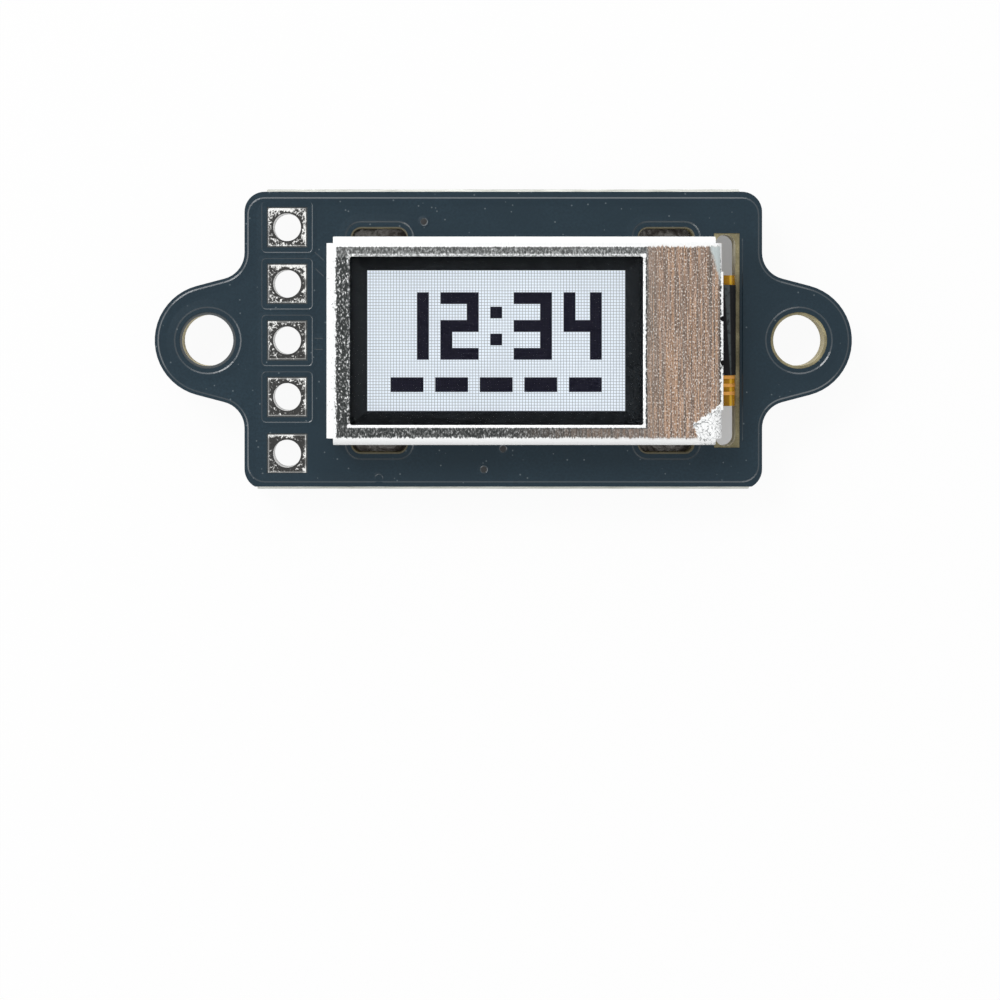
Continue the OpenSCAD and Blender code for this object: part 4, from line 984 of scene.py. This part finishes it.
class MODULE_OT_chips(ModuleOperator, bpy.types.Operator):
    """Finish the chip capacitors, chip resistors and the regulator"""

    bl_idname = "display_module.chips"
    bl_label = "Chips and regulator"

    def execute(self, context):
        brown = (0.115, 0.055, 0.048)
        dress(plain_finish("brown_ceramic", brown, 0.35, 0.55, 9.0), "capacitor_top", "capacitor_second")
        dress(plain_finish("tan_ceramic", (0.45, 0.34, 0.15), 0.35, 0.55, 9.0), "capacitor_bottom")
        dress(plain_finish("light_ceramic", (0.33, 0.18, 0.12), 0.35, 0.55, 9.0), "capacitor_partner")
        alumina = plain_finish("white_alumina", (0.70, 0.70, 0.66), 0.5, 0.7, 9.0)
        dress(alumina, "resistor_1", "resistor_2", "resistor_3", "resistor_4")
        dress(plain_finish("dark_overcoat", (0.016, 0.016, 0.018), 0.25, 0.4, 7.0), "resistor_coats")
        caps = tin_finish("barrel_tin", (0.95, 0.95, 0.93), 6.0, 0.4, 0.25)
        dress(caps, "capacitor_terminals", "resistor_terminals", "regulator_leads")
        moulding = plain_finish("black_moulding", (0.026, 0.026, 0.028), 0.5, 0.7, 14.0, 0.012)
        dress(moulding, "regulator_body")
        return {"FINISHED"}


class MODULE_OT_marks(ModuleOperator, bpy.types.Operator):
    """Finish the printed marks and add plain numbers beside the header and on the resistors"""

    bl_idname = "display_module.marks"
    bl_label = "Printed marks"

    depth, sunk = 0.02, 0.006
    pin_offset = 1.9
    value_height = 0.62
    values = ("103", "222", "222", "222")

    def execute(self, context):
        ink = plain_finish("white_ink", (0.80, 0.84, 0.86), 0.45, 0.65, 10.0, 0.004)
        dress(ink, "legend_marks")
        depth = self.depth * MM
        x, z = HEADER_X + self.pin_offset, REAR_Z - self.sunk
        pins = [(str(i + 1), x, y, z) for i, y in enumerate(HEADER_Y)]
        mesh = rear_numbers("pin_numbers", pins, relief().mark_height, depth, math.pi / 2)
        new_piece("pin_numbers", mesh, "ink", ink)
        x, z = (COAT_LOW.x + COAT_HIGH.x) / 2, COAT_LOW.z - self.sunk
        codes = []
        for i, text in enumerate(self.values):
            low, high = mm_box(f"resistor_{i + 1}")
            codes.append((text, x, (low.y + high.y) / 2, z))
        mesh = rear_numbers("value_numbers", codes, self.value_height * MM, depth)
        new_piece("value_numbers", mesh, "ink", ink)
        return {"FINISHED"}


class MODULE_OT_front_relief(ModuleOperator, bpy.types.Operator):
    """Add the copper edges and vias that show through the front mask"""

    bl_idname = "display_module.front_relief"
    bl_label = "Front relief"

    vias = ((-3.56, 5.32), (-5.58, -6.16), (-0.87, -5.79), (-0.01, -4.86))
    channels = (
        ((-8.04, 3.61), (-8.45, 3.98)),
        ((-8.04, 2.89), (-8.42, 3.24)),
        ((-8.09, 0.11), (-8.5, 0.11)),
        ((-8.09, -0.38), (-8.5, -0.38)),
        ((10.75, -4.49), (10.75, 4.57)),
    )
    hole_ring = 1.52
    land_corner = 0.2
    tab_half, tab_ring = 0.83, 0.72

    def execute(self, context):
        finishes = raised_finishes("raised")
        edges = Relief(FRONT_Z, 1)
        edges.step(pour_loop(MASK_LOW, MASK_HIGH), closed=True)
        for side in (-1, 1):
            edges.step(arc((side * HOLE_X, 0.0), self.hole_ring, 0, 350, 35), closed=True)
        reach = LAND / 2 + relief().land_gap / MM
        for y in HEADER_Y[:-1]:
            loop = rounded_loop((HEADER_X, y), reach, reach, self.land_corner)
            edges.step(loop, closed=True, share=0.6)
        for run in self.channels:
            edges.step(run, share=0.7)
        for x in TAB_X:
            ring = arc((x + self.tab_half, TAB_Y), self.tab_ring, -4, 90, 8)
            ring += arc((x - self.tab_half, TAB_Y), self.tab_ring, 90, 184, 8)
            edges.step(ring)
            edges.step([(px, -py) for px, py in reversed(ring)])
        new_piece("front_edges", edges.finish_mesh("front_edges"), "mask", *finishes)
        add_vias("front_vias", self.vias, FRONT_Z, 1, finishes)
        return {"FINISHED"}


class MODULE_OT_rear_relief(ModuleOperator, bpy.types.Operator):
    """Add the traces and vias that show through the rear mask"""

    bl_idname = "display_module.rear_relief"
    bl_label = "Rear relief"

    vias = (
        (-3.73, 5.4), (-3.72, 4.04), (-5.24, 1.87), (-4.05, -0.17),
        (0.97, -0.33), (-0.16, -4.83), (-1.05, -5.83), (-5.78, -6.21),
    )
    traces = (
        ((1.46, 4.13), (-0.07, 4.11), (-0.5, 4.54)),
        ((1.46, 3.54), (0.25, 3.53), (-0.5, 2.76)),
        ((1.46, 2.88), (0.71, 2.88), (-0.41, 1.69)),
        ((1.46, 2.27), (0.9, 2.27), (-0.27, 1.01), (-3.07, 0.99), (-3.43, 1.41), (-3.44, 2.14), (-4.01, 2.72),
         (-7.0, 2.72)),
        ((1.46, 1.64), (1.04, 1.63), (1.0, 1.23), (0.24, 0.45), (0.23, -2.13), (-0.4, -2.8)),
        ((-3.23, 0.44), (-3.95, 1.2), (-3.95, 1.93), (-4.25, 2.22), (-7.0, 2.22)),
        ((-3.22, -0.3), (-3.2, -2.84)),
        ((-0.2, -0.23), (-0.19, -2.0), (-0.4, -2.3)),
        ((1.46, -2.12), (1.3, -2.12), (-0.36, -3.85)),
        ((0.71, -1.85), (0.71, -2.31), (-0.41, -3.45)),
        ((-3.1, -4.6), (-3.65, -4.11), (-3.89, -3.16)),
        ((1.28, -3.84), (1.28, -4.25), (1.5, -4.52), (2.4, -4.53)),
    )

    def execute(self, context):
        finishes = raised_finishes("raised_rear", 1.4)
        lines = Relief(REAR_Z, -1)
        for run in self.traces:
            lines.trace(run)
        lines.step(pour_loop(REAR_LOW, REAR_HIGH), closed=True)
        new_piece("rear_traces", lines.finish_mesh("rear_traces"), "mask", *finishes)
        add_vias("rear_vias", self.vias, REAR_Z, -1, finishes)
        return {"FINISHED"}


def raised_finishes(name, lighten=1.0):
    """Mask over copper: the flat parts like the rest, the steep sides glossy."""
    colour = shade(colours().mask[:], lighten)
    return mask_finish(name + "_mask", colour), mask_finish(name + "_edge", colour, 0.7, 0.16, 0.24, 0.0005)


def add_vias(name, places, base_z, up, finishes):
    """Covered vias: a low rim round a dark plug, which paints the shade in the via's hole."""
    radius = relief().via_radius / MM
    rims, plugs = Relief(base_z, up), Relief(base_z, up)
    for place in places:
        rims.turned(place, ((radius, rims.sink), (radius + 0.05, 0.022), (radius + 0.17, rims.sink)))
        plugs.plug(place, radius + 0.02, 0.006)
    new_piece(name, rims.finish_mesh(name), "mask", *finishes)
    # Painted shade of the via's hole.
    dark = plain_finish(name + "_plug", (0.006, 0.007, 0.008), 0.35, 0.5, 9.0)
    new_piece(name + "_plugs", plugs.finish_mesh(name + "_plugs"), "mask", dark, dark)


class MODULE_OT_studio(ModuleOperator, bpy.types.Operator):
    """Set the floor, the soft lights and the camera"""

    bl_idname = "display_module.studio"
    bl_label = "Studio"

    floor_half = 1.2
    floor_gap = 0.01 * MM
    sensor = 36.0
    aim = (-3.0 * MM, 1.0 * MM)
    picture_shift = (-0.0033, -0.1596)
    lamps = (
        ("key_light", (-0.13, 0.15, 0.22), 0.10, "key_power"),
        ("left_panel", (-0.26, 0.0, 0.13), 0.24, "panel_power"),
        ("top_panel", (0.0, 0.26, 0.13), 0.24, "panel_power"),
        ("low_panel", (0.14, -0.21, 0.12), 0.18, "fill_power"),
    )

    def execute(self, context):
        scene = context.scene
        scene.view_settings.view_transform = "Standard"
        self.floor(scene)
        self.world(scene)
        studio = scene.module_studio
        for name, place, size, power in self.lamps:
            self.lamp(scene, name, place, size, getattr(studio, power))
        self.camera(scene, studio)
        return {"FINISHED"}

    def floor(self, scene):
        """White paper that lights itself where it is seen and keeps a soft shadow; under the slot it lights
        itself less, a painted shadow seen through the slot, darker towards its upper end.
        """
        half, low = self.floor_half, CAD_BOX[0][2] - self.floor_gap
        mesh = bpy.data.meshes.new("studio_floor")
        corners = [(-half, -half, low), (half, -half, low), (half, half, low), (-half, half, low)]
        mesh.from_pydata(corners, [], [(0, 1, 2, 3)])
        finish = Finish("floor_paper", Base_Color=(0.86, 0.86, 0.86), Roughness=0.9)
        x, y = finish.axes("XY")
        middle = (SLOT_X[0] + SLOT_X[1]) / 2
        # Painted shadow on the floor under the slot.
        under = (1 - abs(x - middle).span(0.6, 0.9)) * (1 - abs(y).span(5.0, 5.4))
        glow = finish.node("ShaderNodeEmission", None, {"Color": (1.0, 1.0, 1.0, 1.0), "Strength": 1.0})
        paper = Field(finish, finish.shader.outputs[0])
        share = finish.seen() * (0.94 - under * y.span(-5.0, 5.0, 0.58, 0.75))
        blend = finish.node("ShaderNodeMixShader", None, {0: share, 1: paper, 2: glow})
        finish.tree.links.new(blend.socket, finish.tree.nodes["Material Output"].inputs["Surface"])
        mesh.materials.append(finish.material)
        floor = bpy.data.objects.new("studio_floor", mesh)
        scene.collection.objects.link(floor)

    def world(self, scene):
        """Even soft light, white where it is seen."""
        world = bpy.data.worlds.new("studio_world")
        scene.world = world
        world.use_nodes = True
        nodes = NodeTree(world.node_tree)
        sky = world.node_tree.nodes["Background"].inputs
        sky["Color"].default_value = (1.0, 1.0, 1.0, 1.0)
        nodes.plug(sky["Strength"], nodes.seen().span(0.0, 1.0, scene.module_studio.sky_level, 1.0))

    def lamp(self, scene, name, place, size, power):
        light = bpy.data.lights.new(name, "AREA")
        light.size = size
        light.energy = power
        lamp = bpy.data.objects.new(name, light)
        lamp.location = place
        lamp.rotation_euler = (-Vector(place)).to_track_quat("-Z", "Y").to_euler()
        scene.collection.objects.link(lamp)

    def camera(self, scene, studio):
        lens = bpy.data.cameras.new("view_camera")
        lens.sensor_width = self.sensor
        lens.lens = self.sensor * studio.distance / studio.view_width
        lens.clip_start = 0.002
        lens.shift_x = self.picture_shift[0] - self.aim[0] / studio.view_width
        lens.shift_y = self.picture_shift[1] - self.aim[1] / studio.view_width
        eye = bpy.data.objects.new("view_camera", lens)
        eye.location = (*self.aim, FRONT_Z * MM + studio.distance)
        scene.collection.objects.link(eye)
        scene.camera = eye


class MODULE_PT_dresser(bpy.types.Panel):
    """Lists the steps and their settings"""

    bl_idname = "MODULE_PT_dresser"
    bl_label = "Display Module"
    bl_space_type = "VIEW_3D"
    bl_region_type = "UI"
    bl_category = "Display Module"

    def draw(self, context):
        layout = self.layout
        for name, group in SETTINGS.items():
            box = layout.box()
            settings = getattr(context.scene, name)
            for key in group.__annotations__:
                box.prop(settings, key)
        for step in STEPS:
            layout.operator(step.bl_idname)


STEPS = (
    MODULE_OT_board,
    MODULE_OT_lands,
    MODULE_OT_bezel,
    MODULE_OT_screen,
    MODULE_OT_backlight,
    MODULE_OT_flex,
    MODULE_OT_flex_joints,
    MODULE_OT_chips,
    MODULE_OT_marks,
    MODULE_OT_front_relief,
    MODULE_OT_rear_relief,
    MODULE_OT_studio,
)
CLASSES = (*SETTINGS.values(), *STEPS, MODULE_PT_dresser)


def register():
    for item in CLASSES:
        bpy.utils.register_class(item)
    for name, group in SETTINGS.items():
        setattr(bpy.types.Scene, name, bpy.props.PointerProperty(type=group))


def unregister():
    for name in SETTINGS:
        delattr(bpy.types.Scene, name)
    for item in reversed(CLASSES):
        bpy.utils.unregister_class(item)


def main():
    register()
    module = bpy.ops.display_module
    module.board()
    module.lands()
    module.bezel()
    module.screen()
    module.backlight()
    module.flex()
    module.flex_joints()
    module.chips()
    module.marks()
    module.front_relief()
    module.rear_relief()
    module.studio()


if __name__ == "__main__":
    main()
